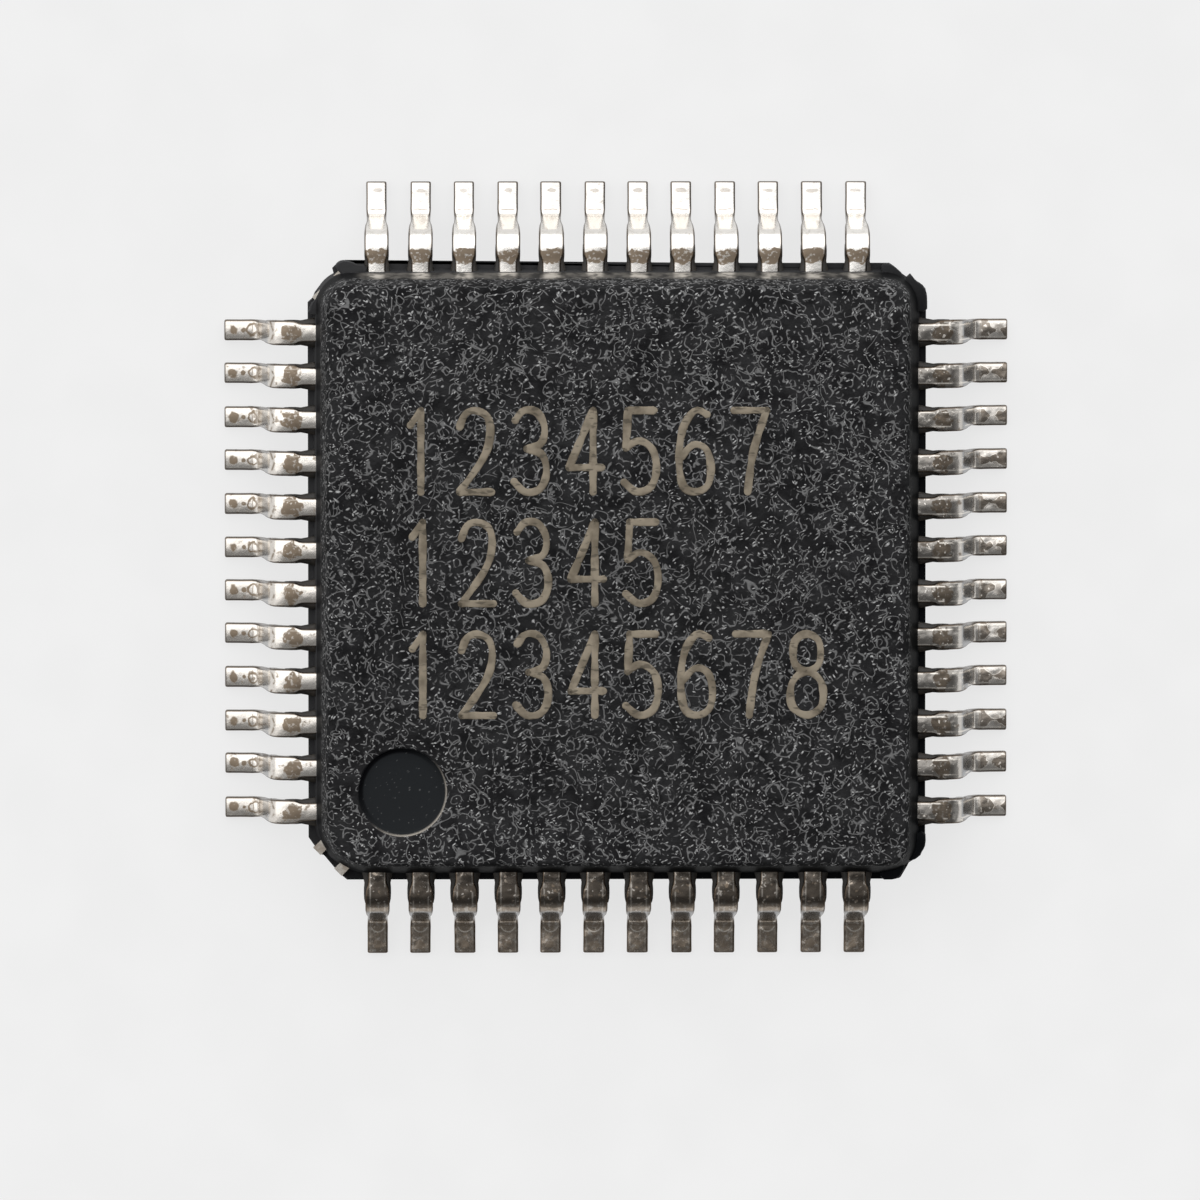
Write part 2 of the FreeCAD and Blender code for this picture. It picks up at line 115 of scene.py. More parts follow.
class ChipMoulding(bpy.types.PropertyGroup):
    """Sizes of the moulded body and of its pin-one dimple."""

    upper_width: length("Upper width", "Width of the upper half at the parting line", 6.95)
    lower_width: length("Lower width", "Width of the lower half at the parting line", 7.08)
    parting_height: length("Parting height", "Height of the parting line above the seat", 0.737)
    draft: degrees("Draft", "Slope of the moulded sides", 12)
    edge_radius: length("Edge radius", "Rounding of the upper edge", 0.08)
    corner_radius: length("Corner radius", "Rounding of three upper corners", 0.42)
    marked_radius: length("Marked corner radius", "Rounding of the pin-one corner", 0.65)
    corner_chamfer: length("Corner chamfer", "Bevel across the lower half's corners", 0.45)
    flash_depth: length("Flash depth", "Thickness of the resin flash at the corners", 0.06)
    dimple_diameter: length("Dimple diameter", "Width of the pin-one dimple", 1.0)
    dimple_depth: length("Dimple depth", "Depth of the pin-one dimple", 0.06)
    dimple_inset: length("Dimple inset", "Dimple centre from the upper half's sides at its base", 1.01)
    marking_stroke: length("Marking stroke", "Width of the marking's strokes", 0.088)
    marking_height: length("Marking height", "Height of a numeral from centre line to centre line", 0.93)
    marking_width: length("Marking width", "Width of a numeral from centre line to centre line", 0.37)
    marking_pitch: length("Marking pitch", "Distance from one numeral to the next", 0.627)


class ChipLeads(bpy.types.PropertyGroup):
    """Sizes of the gull-wing leads and of the resin beside them."""

    span: length("Span", "Distance over the tips of opposite leads, left to right", 9.0)
    span_along: length("Span along", "Distance over the tips of opposite leads, front to back", 8.9)
    pitch: length("Pitch", "Distance from one lead to the next", 0.5)
    thickness: length("Thickness", "Thickness of the lead strip", 0.127)
    edge_radius: length("Edge radius", "Rounding of the strip's edges", 0.026)
    bend_radius: length("Bend radius", "Inside radius of both bends", 0.1)
    foot: length("Foot", "Straight part of the foot", 0.31)
    foot_angle: degrees("Foot angle", "Slope of the foot down to its tip", 5)
    shank_angle: degrees("Shank angle", "Slope of the shank between the bends", 75)
    finger_reach: length("Finger reach", "Distance of the inner ends from the middle", 2.15)
    finger_pitch: length("Finger pitch", "Distance from one inner end to the next", 0.32)
    sway: length("Sway", "Most that a tip strays from its place", 0.008)
    width_spread: FloatProperty(
        name="Width spread",
        description="Share by which a lead's width varies",
        default=0.025,
        min=0.0,
        max=0.2,
        subtype="FACTOR",
    )
    per_side: IntProperty(
        name="Leads per side",
        description="Number of leads on a side",
        default=LEADS_PER_SIDE,
    )


class ChipColours(bpy.types.PropertyGroup):
    """Colours of the chip's finishes."""

    compound: colour("Mould compound", "Epoxy moulding compound", "#1a1a1b")
    # Painted glints on the crests of the texture, and dust in the dimple.
    compound_glint_and_dust: colour("Compound glints and dust", "Crests of the mould's texture", "#c8c8c8")
    tin: colour("Tin", "Plating on the leads", "#dfd9d1")
    stain: colour("Stain", "Brown stain on the plating", "#8a7c6c")
    film: colour("Film", "Thin brown film on the plating", "#a0907e")
    # The cut-edge colour lies on the tips, where metal is cut, and on the strip's sides as painted shade.
    edge: colour("Cut edge", "Trimmed edges of the leads", "#55493d")
    marking: colour("Marking", "Marking on the top", "#8d8373")
    marking_dark: colour("Marking shade", "Darker blotches of the marking", "#6b6254")
    floor: colour("Floor", "Floor under the chip", "#f0f0f0")


# Shades within the finishes, beside the colours that a user would change.
CLOUDED_COMPOUND = linear("#2d2d2e")
# Lit and shaded copies of the ledge and sides: painted light, paler towards the far left.
LEDGE_SHADED = linear("#121315")
LEDGE_LIT = linear("#3a3a3b")
FLANK_SHADED = linear("#08090a")
FLANK_LIT = linear("#1c1c1d")
# Painted reflection of the leads on the far side.
REFLECTED_LEADS = linear("#bdb7ae")
DIMPLE_FLOOR = linear("#242628")
# Painted highlight on the dimple's rim; the shade after it is the painted shadow inside the dimple.
DIMPLE_HIGHLIGHT = linear("#b3aca2")
DIMPLE_SHADOW = linear("#08080a")
# Painted light: brighter tin on the rows that face the light.
LIT_TIN = linear("#f7f4ef")
WORN_TIN = linear("#c9c1b8")
# Painted reflection: grey on the shank.
REFLECTED_GREY = linear("#979ba0")
# Film and painted shade on the rows that face away from the light.
DARK_FILM_AND_SHADE = linear("#4a4540")
# Painted shade of facets on the feet.
SHADED_FACET = linear("#776c60")
# Pale flecks of bare metal, and painted highlights along the leads' sides and between foot facets.
PALE_FLECKS_AND_HIGHLIGHTS = linear("#f4eee5")
MARKING_STREAK = linear("#4c463c")
FLOOR_FIBRE = linear("#eeeeee")


# Materials.


def add_node(tree, kind, inputs=None, **settings):
    """Add a node with its settings, and set or link its inputs."""
    made = tree.nodes.new(kind)
    for name, value in settings.items():
        setattr(made, name, value)
    for key, value in (inputs or {}).items():
        if isinstance(value, bpy.types.NodeSocket):
            tree.links.new(value, made.inputs[key])
        else:
            made.inputs[key].default_value = value
    return made


def new_material(name):
    """Make an empty node material, and give it with its node tree."""
    material = bpy.data.materials.new(name)
    material.use_nodes = True
    material.node_tree.nodes.clear()
    return material, material.node_tree


def end_material(tree, shader_inputs, relief, strength, distance):
    """Close a material with its surface shader over a relief, whose full height is in millimetres."""
    inputs = {"Strength": strength, "Distance": distance * MM, "Height": relief}
    bump = add_node(tree, "ShaderNodeBump", inputs)
    shader = add_node(tree, "ShaderNodeBsdfPrincipled", {**shader_inputs, "Normal": bump.outputs["Normal"]})
    add_node(tree, "ShaderNodeOutputMaterial", {"Surface": shader.outputs["BSDF"]})


def millimetres(tree, centre=(0.0, 0.0, 0.0)):
    """Object coordinates about a centre, turned from metres to millimetres."""
    place = add_node(tree, "ShaderNodeTexCoord").outputs["Object"]
    shift = tuple(-value / MM for value in centre)
    inputs = {"Vector": place, "Location": shift, "Scale": (1 / MM,) * 3}
    return add_node(tree, "ShaderNodeMapping", inputs).outputs["Vector"]


# Steps that the materials and trees use often: the node, its settings, its inputs in order and its result.
STEPS = {
    "plus": ("ShaderNodeMath", {"operation": "ADD"}, (0, 1), 0),
    "minus": ("ShaderNodeMath", {"operation": "SUBTRACT"}, (0, 1), 0),
    "times": ("ShaderNodeMath", {"operation": "MULTIPLY"}, (0, 1), 0),
    "over": ("ShaderNodeMath", {"operation": "DIVIDE"}, (0, 1), 0),
    "rest": ("ShaderNodeMath", {"operation": "MODULO"}, (0, 1), 0),
    "floor": ("ShaderNodeMath", {"operation": "FLOOR"}, (0,), 0),
    "size": ("ShaderNodeMath", {"operation": "ABSOLUTE"}, (0,), 0),
    "cosine": ("ShaderNodeMath", {"operation": "COSINE"}, (0,), 0),
    "larger": ("ShaderNodeMath", {"operation": "MAXIMUM"}, (0, 1), 0),
    "smaller": ("ShaderNodeMath", {"operation": "MINIMUM"}, (0, 1), 0),
    "add": ("ShaderNodeVectorMath", {"operation": "ADD"}, (0, 1), 0),
    "grow": ("ShaderNodeVectorMath", {"operation": "SCALE"}, (0, "Scale"), 0),
    "dot": ("ShaderNodeVectorMath", {"operation": "DOT_PRODUCT"}, (0, 1), "Value"),
    "length": ("ShaderNodeVectorMath", {"operation": "LENGTH"}, (0,), "Value"),
    "join": ("ShaderNodeCombineXYZ", {}, ("X", "Y", "Z"), 0),
    "turn": ("ShaderNodeVectorRotate", {"rotation_type": "Z_AXIS"}, ("Vector", "Angle"), 0),
    "shift": ("ShaderNodeMapping", {}, ("Vector", "Location"), 0),
    "noise": ("ShaderNodeTexNoise", {}, ("Vector", "Scale", "Detail"), "Fac"),
    "ramp": (
        "ShaderNodeMapRange", {"interpolation_type": "SMOOTHSTEP"},
        ("Value", "From Min", "From Max", "To Min", "To Max"), "Result",
    ),
    "blend": ("ShaderNodeMix", {"data_type": "RGBA"}, (MIX_FACTOR, MIX_FIRST, MIX_SECOND), MIX_RESULT),
}


def derive(tree, name, *values):
    """Add a step by its name with its inputs in order, and give its result."""
    kind, settings, sockets, result = STEPS[name]
    return add_node(tree, kind, dict(zip(sockets, values)), **settings).outputs[result]


def band(tree, value, low, high, soft):
    """One between low and high, and zero outside, with soft edges."""
    rise = derive(tree, "ramp", value, low - soft, low + soft)
    fall = derive(tree, "ramp", value, high - soft, high + soft, 1.0, 0.0)
    return derive(tree, "times", rise, fall)


def highest(tree, values):
    """Largest of several values."""
    top = values[0]
    for value in values[1:]:
        top = derive(tree, "larger", top, value)
    return top


def waver(tree, place, scale, reach):
    """Coordinates that stray by up to half the reach, in soft waves."""
    inputs = {"Vector": place, "Scale": scale, "Detail": 0.0}
    sway = add_node(tree, "ShaderNodeTexNoise", inputs).outputs["Color"]
    inputs = {0: sway, 1: reach, 2: place}
    return add_node(tree, "ShaderNodeVectorMath", inputs, operation="MULTIPLY_ADD").outputs[0]


def broken_line(tree, place, away, reach, break_scale, threshold):
    """A line where the distance away is within reach, broken where a noise is under the threshold."""
    step = partial(derive, tree)
    line = step("ramp", away, reach * 0.3, reach, 1.0, 0.0)
    breaks = step("ramp", step("noise", place, break_scale, 1.0), threshold, threshold + 0.09)
    return step("times", line, breaks)


# Pattern scales are cells or waves per millimetre, because the coordinates are in millimetres.


def curls(tree, place, shift, scale, half_width):
    """Thin broken curls along the walls of a wavy cell pattern, of even width in millimetres."""
    moved = derive(tree, "shift", place, shift)
    inputs = {"Vector": waver(tree, moved, scale, (1.4 / scale,) * 3), "Scale": scale}
    settings = {"voronoi_dimensions": "2D", "feature": "DISTANCE_TO_EDGE"}
    walls = add_node(tree, "ShaderNodeTexVoronoi", inputs, **settings).outputs["Distance"]
    return broken_line(tree, moved, walls, half_width * scale, scale * 1.9, 0.47)


def rings(tree, place, shift, scale, radius, half_width):
    """Thin broken rings about the centres of a cell pattern, with sizes in millimetres."""
    moved = derive(tree, "shift", place, shift)
    inputs = {"Vector": waver(tree, moved, 11.0, (0.09,) * 3), "Scale": scale}
    cells = add_node(tree, "ShaderNodeTexVoronoi", inputs, voronoi_dimensions="2D")
    away = derive(tree, "size", derive(tree, "minus", cells.outputs["Distance"], radius * scale))
    return broken_line(tree, moved, away, half_width * scale, scale * 1.6, 0.46)


def specks(tree, place, angle, stretch, scale, share):
    """Small specks drawn out along a wavering angle, on a share of the cells of a cell pattern."""
    wavy = waver(tree, place, 1.7, (0.3, 0.3, 0.0))
    inputs = {"Vector": wavy, "Rotation": (0.0, 0.0, math.radians(angle)), "Scale": (stretch, 1.0, 1.0)}
    turned = add_node(tree, "ShaderNodeMapping", inputs, vector_type="TEXTURE").outputs["Vector"]
    inputs = {"Vector": turned, "Scale": scale}
    cells = add_node(tree, "ShaderNodeTexVoronoi", inputs, voronoi_dimensions="2D")
    dots = derive(tree, "ramp", cells.outputs["Distance"], 0.05, 0.15, 1.0, 0.0)
    lot = add_node(tree, "ShaderNodeSeparateColor", {"Color": cells.outputs["Color"]}).outputs[0]
    return derive(tree, "times", dots, derive(tree, "ramp", lot, 1.0 - share, 1.0))


# Layers of bright specks, painted glints on the texture: angle in degrees, stretch, cells per millimetre and
# share of cells that have one.
SPECK_LAYERS = ((40, 2.3, 12.5, 0.70), (15, 2.3, 13.5, 0.50), (-50, 2.0, 14.0, 0.42), (0, 1.0, 12.5, 0.65))


def body_coordinates(tree, sizes):
    """Places on the moulding and the sizes that its finish goes by, all in millimetres."""
    low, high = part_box("moulded_body")
    place = millimetres(tree)
    parts = add_node(tree, "ShaderNodeSeparateXYZ", {"Vector": place}).outputs
    middle = sizes.dimple_inset - sizes.upper_width / 2
    return SimpleNamespace(
        place=place,
        x=parts["X"],
        y=parts["Y"],
        height=parts["Z"],
        from_dimple=derive(tree, "length", millimetres(tree, (middle, middle, high.z))),
        top=high.z / MM,
        bottom=low.z / MM,
        half=sizes.upper_width / 2 / MM,
        parting=sizes.parting_height / MM,
        dimple=sizes.dimple_diameter / 2 / MM,
    )


def texture_marks(tree, body):
    """Curls, rings and specks of the spark texture."""
    step = partial(derive, tree)
    # Drawn outwards below the top, so that the pattern runs down the sides without streaks.
    below = step("smaller", step("minus", body.top, body.height), 0.5)
    spread = step("grow", body.place, step("plus", step("over", below, body.half), 1.0))
    thin = highest(tree, [
        curls(tree, spread, (0.0, 0.0, 0.0), 4.0, 0.010),
        rings(tree, spread, (3.1, 7.7, 1.3), 4.2, 0.085, 0.011),
        rings(tree, spread, (5.3, 2.9, 4.1), 7.0, 0.045, 0.010),
    ])
    bright = highest(tree, [specks(tree, spread, *layer) for layer in SPECK_LAYERS])
    return step("larger", step("times", thin, 0.30), bright)


def texture_share(tree, body, outside):
    """Where the texture lies: on the underside, and on the top but for its right and near edges."""
    step = partial(derive, tree)
    on_top = step("ramp", body.height, body.top - 0.42, body.top - 0.26)
    on_top = step("times", on_top, step("ramp", body.y, 0.09 - body.half, 0.22 - body.half))
    on_top = step("times", on_top, step("ramp", body.x, body.half - 0.22, body.half - 0.09, 1.0, 0.0))
    on_bottom = step("ramp", body.height, body.bottom + 0.004, body.bottom + 0.02, 1.0, 0.0)
    return step("times", step("larger", on_top, on_bottom), outside)


def far_lead_reflections(tree, body):
    """Painted reflections of the leads: pale patches on the far side, one behind each lead, above the parting
    line.
    """
    step = partial(derive, tree)
    far = step("ramp", body.y, body.half - 0.22, body.half - 0.14)
    above = step("ramp", body.height, body.parting + 0.15, body.parting + 0.18)
    # One wave for each lead, with its crest behind the lead.
    pitch = 0.5
    turns = step("times", step("plus", body.x, pitch / 2), math.tau / pitch)
    wave = step("plus", step("cosine", turns), step("noise", body.place, 4.0, 2.0))
    behind = step("ramp", wave, 0.5, 1.4, 0.2, 0.8)
    behind = step("times", behind, band(tree, body.x, -2.95, 2.95, 0.08))
    patchy = step("ramp", step("noise", body.place, 7.0, 3.0), 0.35, 0.6, 0.2, 1.0)
    return step("times", step("times", far, above), step("times", behind, patchy))


def plain_colour(tree, body):
    """Ledge and sides without texture, with painted light that makes them paler towards the far left, and the
    painted reflections of the leads.
    """
    step = partial(derive, tree)
    on_ledge = step("ramp", body.height, body.parting + 0.14, body.parting + 0.18, 1.0, 0.0)
    # Painted light: paler towards the far left, where the light wall stands.
    lit_side = step("ramp", step("minus", body.y, body.x), -3.0, 3.0)
    ledge = step("blend", lit_side, LEDGE_SHADED, LEDGE_LIT)
    flank = step("blend", lit_side, FLANK_SHADED, FLANK_LIT)
    plain = step("blend", on_ledge, flank, ledge)
    return step("blend", far_lead_reflections(tree, body), plain, REFLECTED_LEADS)


def dimple_light_and_shade(tree, body, colour):
    """A colour with a painted highlight, a pale crescent on the dimple's near right rim, and a painted shadow
    inside its far left rim.
    """
    step = partial(derive, tree)
    near_right = step("minus", body.x, body.y)
    rim = band(tree, body.from_dimple, body.dimple - 0.004, body.dimple + 0.010, 0.008)
    rim = step("times", rim, step("ramp", near_right, -0.1, 0.6))
    highlighted = step("blend", step("times", rim, 0.8), colour, DIMPLE_HIGHLIGHT)
    painted_shadow = band(tree, body.from_dimple, body.dimple - 0.05, body.dimple, 0.014)
    painted_shadow = step("times", painted_shadow, step("ramp", near_right, -0.6, 0.3, 0.9, 0.0))
    return step("blend", painted_shadow, highlighted, DIMPLE_SHADOW)


def make_compound(sizes, colours):
    """Black epoxy moulding compound, filled with silica and moulded in a spark-eroded tool.

    The eye sees a dull charcoal face covered with fine curls 0.02 mm wide and specks, whose pale colour is
    painted glints on the crests of the texture, and plain, slightly shinier sides and dimple, with painted
    light and shade.
    """
    material, tree = new_material("spark_textured_mould_compound")
    step = partial(derive, tree)
    body = body_coordinates(tree, sizes)
    outside = step("ramp", body.from_dimple, body.dimple - 0.01, body.dimple + 0.02)
    textured = texture_share(tree, body, outside)
    pattern = texture_marks(tree, body)
    strength = step("ramp", step("noise", body.place, 3.0, 2.0), 0.35, 0.65, 0.66, 0.86)
    # Painted highlights: the glints are stronger in a band along the far edge of the top, which faces the
    # light wall.
    strength = step("larger", strength, band(tree, body.y, body.half - 0.30, body.half - 0.19, 0.03))
    painted_glints = step("times", step("times", pattern, strength), textured)
    cloud = step("ramp", step("noise", body.place, 5.0, 3.0), 0.25, 0.75)
    face = step("blend", cloud, colours.compound, CLOUDED_COMPOUND)
    dust = step("times", specks(tree, body.place, 30, 1.6, 19.0, 0.5), 0.12)
    dimple_floor = step("blend", dust, DIMPLE_FLOOR, colours.compound_glint_and_dust)
    plain = step("blend", outside, dimple_floor, plain_colour(tree, body))
    ground = step("blend", textured, plain, face)
    with_glints = step("blend", painted_glints, ground, colours.compound_glint_and_dust)
    grain = step("noise", body.place, 30.0, 3.0)
    relief = step("times", step("plus", pattern, grain), step("ramp", textured, 0.0, 1.0, 0.1, 1.0))
    shader_inputs = {
        "Base Color": dimple_light_and_shade(tree, body, with_glints),
        "Roughness": step("ramp", textured, 0.0, 1.0, 0.45, 0.55),
        "Specular IOR Level": 0.012,
    }
    end_material(tree, shader_inputs, relief, 1.0, 0.012)
    return material


def lead_coordinates(tree):
    """Millimetres along and across a lead, its own tone, and a place for noises made of the three."""
    names = ("along", "across", "tone")
    along, across, tone = (
        add_node(tree, "ShaderNodeAttribute", attribute_name=name).outputs["Fac"] for name in names
    )
    place = derive(tree, "join", across, along, derive(tree, "times", tone, 40.0))
    return SimpleNamespace(along=along, across=across, tone=tone, place=place)


# How much each row shows of a feature: near, right, far and left row. Several are painted light and shade,
# for the far row faces the light wall and the near and right rows face away.
ROW_SHARES = {
    "heavy stain": (0.8, 0.9, 0.15, 1.0),
    "foot spots": (0.5, 0.12, 0.15, 1.0),
    "brown film": (0.75, 0.12, 0.0, 0.1),
    "lit tin": (0.0, 0.7, 1.0, 0.45),
    "shank reflection": (0.8, 0.85, 0.0, 0.0),
    "dark film and shade": (0.3, 0.2, 0.0, 0.0),
    "dark shoulder": (0.9, 0.7, 0.0, 0.0),
    "facets": (0.0, 0.8, 0.0, 0.0),
    "facet lines": (0.15, 1.0, 0.0, 0.0),
    "foot arc": (0.75, 0.0, 0.0, 0.0),
    "flecks": (0.4, 0.75, 0.0, 0.2),
    "side highlights": (0.3, 0.9, 0.0, 0.3),
    "dents": (1.0, 1.0, 0.2, 0.35),
}


def by_row(tree, feature):
    """A feature's share on the row that a lead belongs to."""
    shares = ROW_SHARES[feature]
    number = add_node(tree, "ShaderNodeAttribute", attribute_name="number").outputs["Fac"]
    place = derive(tree, "times", derive(tree, "plus", number, 0.5), 1 / len(LEAD_NODES))
    rows = add_node(tree, "ShaderNodeValToRGB", {"Fac": place})
    stops = rows.color_ramp
    stops.interpolation = "CONSTANT"
    while len(stops.elements) < SIDES:
        stops.elements.new(1.0)
    for row, share in enumerate(shares):
        stops.elements[row].position = row / SIDES
        stops.elements[row].color = (share, share, share, 1.0)
    return rows.outputs["Color"]


def spot(tree, lead, middle, half_across, half_along):
    """Distance from a spot on the lead, one on the spot's oval outline."""
    step = partial(derive, tree)
    sideways = step("over", lead.across, half_across)
    lengthways = step("over", step("minus", lead.along, middle), half_along)
    return step("length", step("join", sideways, lengthways))


def shoulder_stain(tree, lead, heavy, wander):
    """Stain on the shoulder: round where it is heavy, and a band across where it is light."""
    step = partial(derive, tree)
    centre = step("ramp", heavy, 0.0, 1.0, 0.825, 0.775)
    half_along = step("ramp", heavy, 0.0, 1.0, 0.085, 0.110)
    half_across = step("ramp", heavy, 0.0, 1.0, 0.20, 0.110)
    blob = step("plus", spot(tree, lead, centre, half_across, half_along), wander)
    dashes = step("ramp", step("noise", lead.place, 24.0, 2.0), 0.56, 0.66, 1.0, 0.45)
    return step("times", step("ramp", blob, 0.90, 1.02, 1.0, 0.0), dashes)


def foot_stains(tree, lead, heavy, wander):
    """Stains on the foot: the crease where it was formed, spots near the tip, a ring and short arcs."""
    step = partial(derive, tree)
    spotted = by_row(tree, "foot spots")
    middle = step("ramp", step("size", lead.across), 0.065, 0.09, 1.0, 0.0)
    crease_line = step("plus", lead.along, step("times", wander, 0.02))
    crease = step("times", band(tree, crease_line, 0.313, 0.321, 0.006), middle)
    tip_length = step("ramp", heavy, 0.0, 1.0, 0.025, 0.058)
    tip_blob = step("plus", spot(tree, lead, 0.100, 0.066, tip_length), wander)
    tip_spot = step("ramp", tip_blob, 0.7, 1.05, 1.0, 0.0)
    tip_spot = step("times", tip_spot, step("ramp", spotted, 0.0, 1.0, 0.40, 1.0))
    dot = step("ramp", step("plus", spot(tree, lead, 0.215, 0.03, 0.03), wander), 0.7, 1.1, 1.0, 0.0)
    spots = step("larger", tip_spot, step("times", dot, spotted))
    ring = band(tree, step("plus", spot(tree, lead, 0.33, 0.068, 0.07), wander), 0.62, 1.0, 0.10)
    fading = step("ramp", lead.along, 0.33, 0.40, 1.0, 0.4)
    ring = step("times", step("times", ring, spotted), fading)
    bow = step("plus", lead.along, step("times", step("size", lead.across), 0.35))
    broken = step("ramp", step("noise", lead.place, 15.0, 2.0), 0.42, 0.55)
    arcs = step("times", band(tree, bow, 0.565, 0.585, 0.012), step("times", broken, spotted))
    return [crease, spots, ring, arcs]


def lead_stains(tree, lead, heavy):
    """Where brown stain lies on a lead."""
    step = partial(derive, tree)
    wander = step("ramp", step("noise", lead.place, 10.0, 2.0), 0.25, 0.75, -0.3, 0.3)
    blots = step("ramp", step("noise", lead.place, 11.0, 3.0), 0.60, 0.70)
    blots = step("times", blots, step("ramp", heavy, 0.0, 1.0, 0.25, 0.8))
    shoulder = shoulder_stain(tree, lead, heavy, wander)
    return highest(tree, [shoulder, *foot_stains(tree, lead, heavy, wander), blots])


def plated_colour(tree, lead, heavy, stained, colours):
    """Tin from fresh to filmed, with painted light that brightens whole rows, the painted grey reflection on
    the shank and the stain.
    """
    step = partial(derive, tree)
    filmed_share = step("ramp", step("noise", lead.place, 20.0, 2.0), 0.55, 0.66, 1.0, 0.2)
    # Painted light: brighter tin, most on the far row, which faces the light wall.
    bright = step("blend", by_row(tree, "lit tin"), colours.tin, LIT_TIN)
    fresh = step("blend", step("ramp", lead.tone, 0.0, 1.0, 0.0, 0.25), bright, WORN_TIN)
    filmed = step("blend", step("times", by_row(tree, "brown film"), filmed_share), fresh, colours.film)
    # Painted reflection: a grey band across the shank, narrow where the stain is heavy and wide on the near
    # and right rows.
    dull = step("times", band(tree, lead.along, 0.43, 0.50, 0.012), step("times", heavy, 0.7))
    wide = step("times", band(tree, lead.along, 0.39, 0.54, 0.02), by_row(tree, "shank reflection"))
    shank = step("blend", step("larger", dull, wide), filmed, REFLECTED_GREY)
    return step("blend", stained, shank, colours.stain)


def film_and_shade_share(tree, lead):
    """Where film and painted shade darken the rows that face away from the light: thin all over and thick
    behind the shank, with flecks that they leave bare.
    """
    step = partial(derive, tree)
    flecks = step("ramp", step("noise", lead.place, 17.0, 3.0), 0.60, 0.68, 1.0, 0.3)
    shaded_rear = step("times", step("ramp", lead.along, 0.58, 0.66), by_row(tree, "dark shoulder"))
    return step("times", step("larger", by_row(tree, "dark film and shade"), shaded_rear), flecks)


def foot_facets(tree, lead):
    """Painted shade and highlights of facets on the flat feet: where the facets are dark, and the bright
    lines between them and an arc on the foot.
    """
    step = partial(derive, tree)
    on_foot = step("ramp", lead.along, 0.29, 0.32, 1.0, 0.0)
    crossing = step("ramp", lead.tone, 0.0, 1.0, 0.10, 0.20)
    reach = step("size", step("minus", lead.along, crossing))
    wander = step("ramp", step("noise", lead.place, 7.0, 1.0), 0.3, 0.7, -0.035, 0.035)
    inside = step("minus", step("times", reach, 0.75), step("size", lead.across))
    inside = step("plus", inside, wander)
    dark = step("times", step("ramp", inside, 0.0, 0.012), on_foot)
    dark = step("times", dark, by_row(tree, "facets"))
    cross = step("times", band(tree, inside, -0.004, 0.004, 0.006), by_row(tree, "facet lines"))
    arc = band(tree, spot(tree, lead, 0.335, 0.09, 0.095), 0.88, 1.0, 0.08)
    arc = step("times", arc, by_row(tree, "foot arc"))
    lines = step("times", step("larger", cross, arc), on_foot)
    return dark, lines


def flecks_and_highlights_share(tree, lead, facet_lines):
    """Where pale flecks of bare metal lie, and the painted highlights along the strip's sides and on the
    lines between facets.
    """
    step = partial(derive, tree)
    flecks = step("ramp", step("noise", lead.place, 22.0, 1.0), 0.66, 0.72)
    flecks = step("times", flecks, by_row(tree, "flecks"))
    sides = band(tree, step("size", lead.across), 0.078, 0.092, 0.008)
    sides = step("times", sides, step("ramp", step("noise", lead.place, 9.0, 1.0), 0.42, 0.5))
    sides = step("times", sides, by_row(tree, "side highlights"))
    return highest(tree, [flecks, sides, facet_lines])


def make_tin(colours):
    """Matte tin plated on copper alloy strip, trimmed, formed and aged.

    The eye sees pale warm metal with soft gloss, a brown-grey stain on the shoulder, spots on the foot,
    a thin crease where the foot was formed and brown trimmed edges; the near row has a brown film.
    Light and shade are painted in too: brighter tin on the far row, darker near and right rows, a grey
    reflection on the shank, highlights along the strip's sides and between facets, and shade on its sides.
    """
    material, tree = new_material("aged_tin_plating")
    step = partial(derive, tree)
    lead = lead_coordinates(tree)
    heavy = by_row(tree, "heavy stain")
    stained = lead_stains(tree, lead, heavy)
    facets, facet_lines = foot_facets(tree, lead)
    plated = plated_colour(tree, lead, heavy, stained, colours)
    # Film and painted shade darken the near and right rows.
    aged = step("blend", film_and_shade_share(tree, lead), plated, DARK_FILM_AND_SHADE)
    # Painted shade of facets on the right row's feet.
    pressed = step("blend", facets, aged, SHADED_FACET)
    # Pale flecks, and painted highlights along the strip's sides and between facets.
    flecked_and_highlighted = step("blend", flecks_and_highlights_share(tree, lead, facet_lines), pressed, PALE_FLECKS_AND_HIGHLIGHTS)
    rim = add_node(tree, "ShaderNodeAttribute", attribute_name="rim").outputs["Fac"]
    dents = step("times", step("noise", lead.place, 6.5, 1.0), by_row(tree, "dents"))
    grain = step("times", step("noise", lead.place, 40.0, 2.0), 0.06)
    shader_inputs = {
        # Cut metal at the tips, and painted shade on the strip's sides, in the cut-edge colour.
        "Base Color": step("blend", step("ramp", rim, 0.05, 0.5, 0.0, 0.9), flecked_and_highlighted, colours.edge),
        "Metallic": 1.0,
        "Roughness": step("ramp", stained, 0.0, 1.0, 0.24, 0.42),
    }
    end_material(tree, shader_inputs, step("plus", dents, grain), 0.8, 0.022)
    return material


def make_speckled(name, look):
    """A material of two colours, mixed by noise, with its own roughness and relief."""
    material, tree = new_material(name)
    step = partial(derive, tree)
    place = millimetres(tree)
    mix = step("ramp", step("noise", place, look["scale"], 3.0), 0.35, 0.65)
    shader_inputs = {
        "Base Color": step("blend", mix, linear(look["first"]), linear(look["second"])),
        "Metallic": look["metallic"],
        "Roughness": step("ramp", mix, 0.0, 1.0, look["roughness"], look["roughness"] + 0.12),
    }
    end_material(tree, shader_inputs, step("noise", place, look["scale"] * 3.0, 2.0), 0.4, look["relief"])
    return material


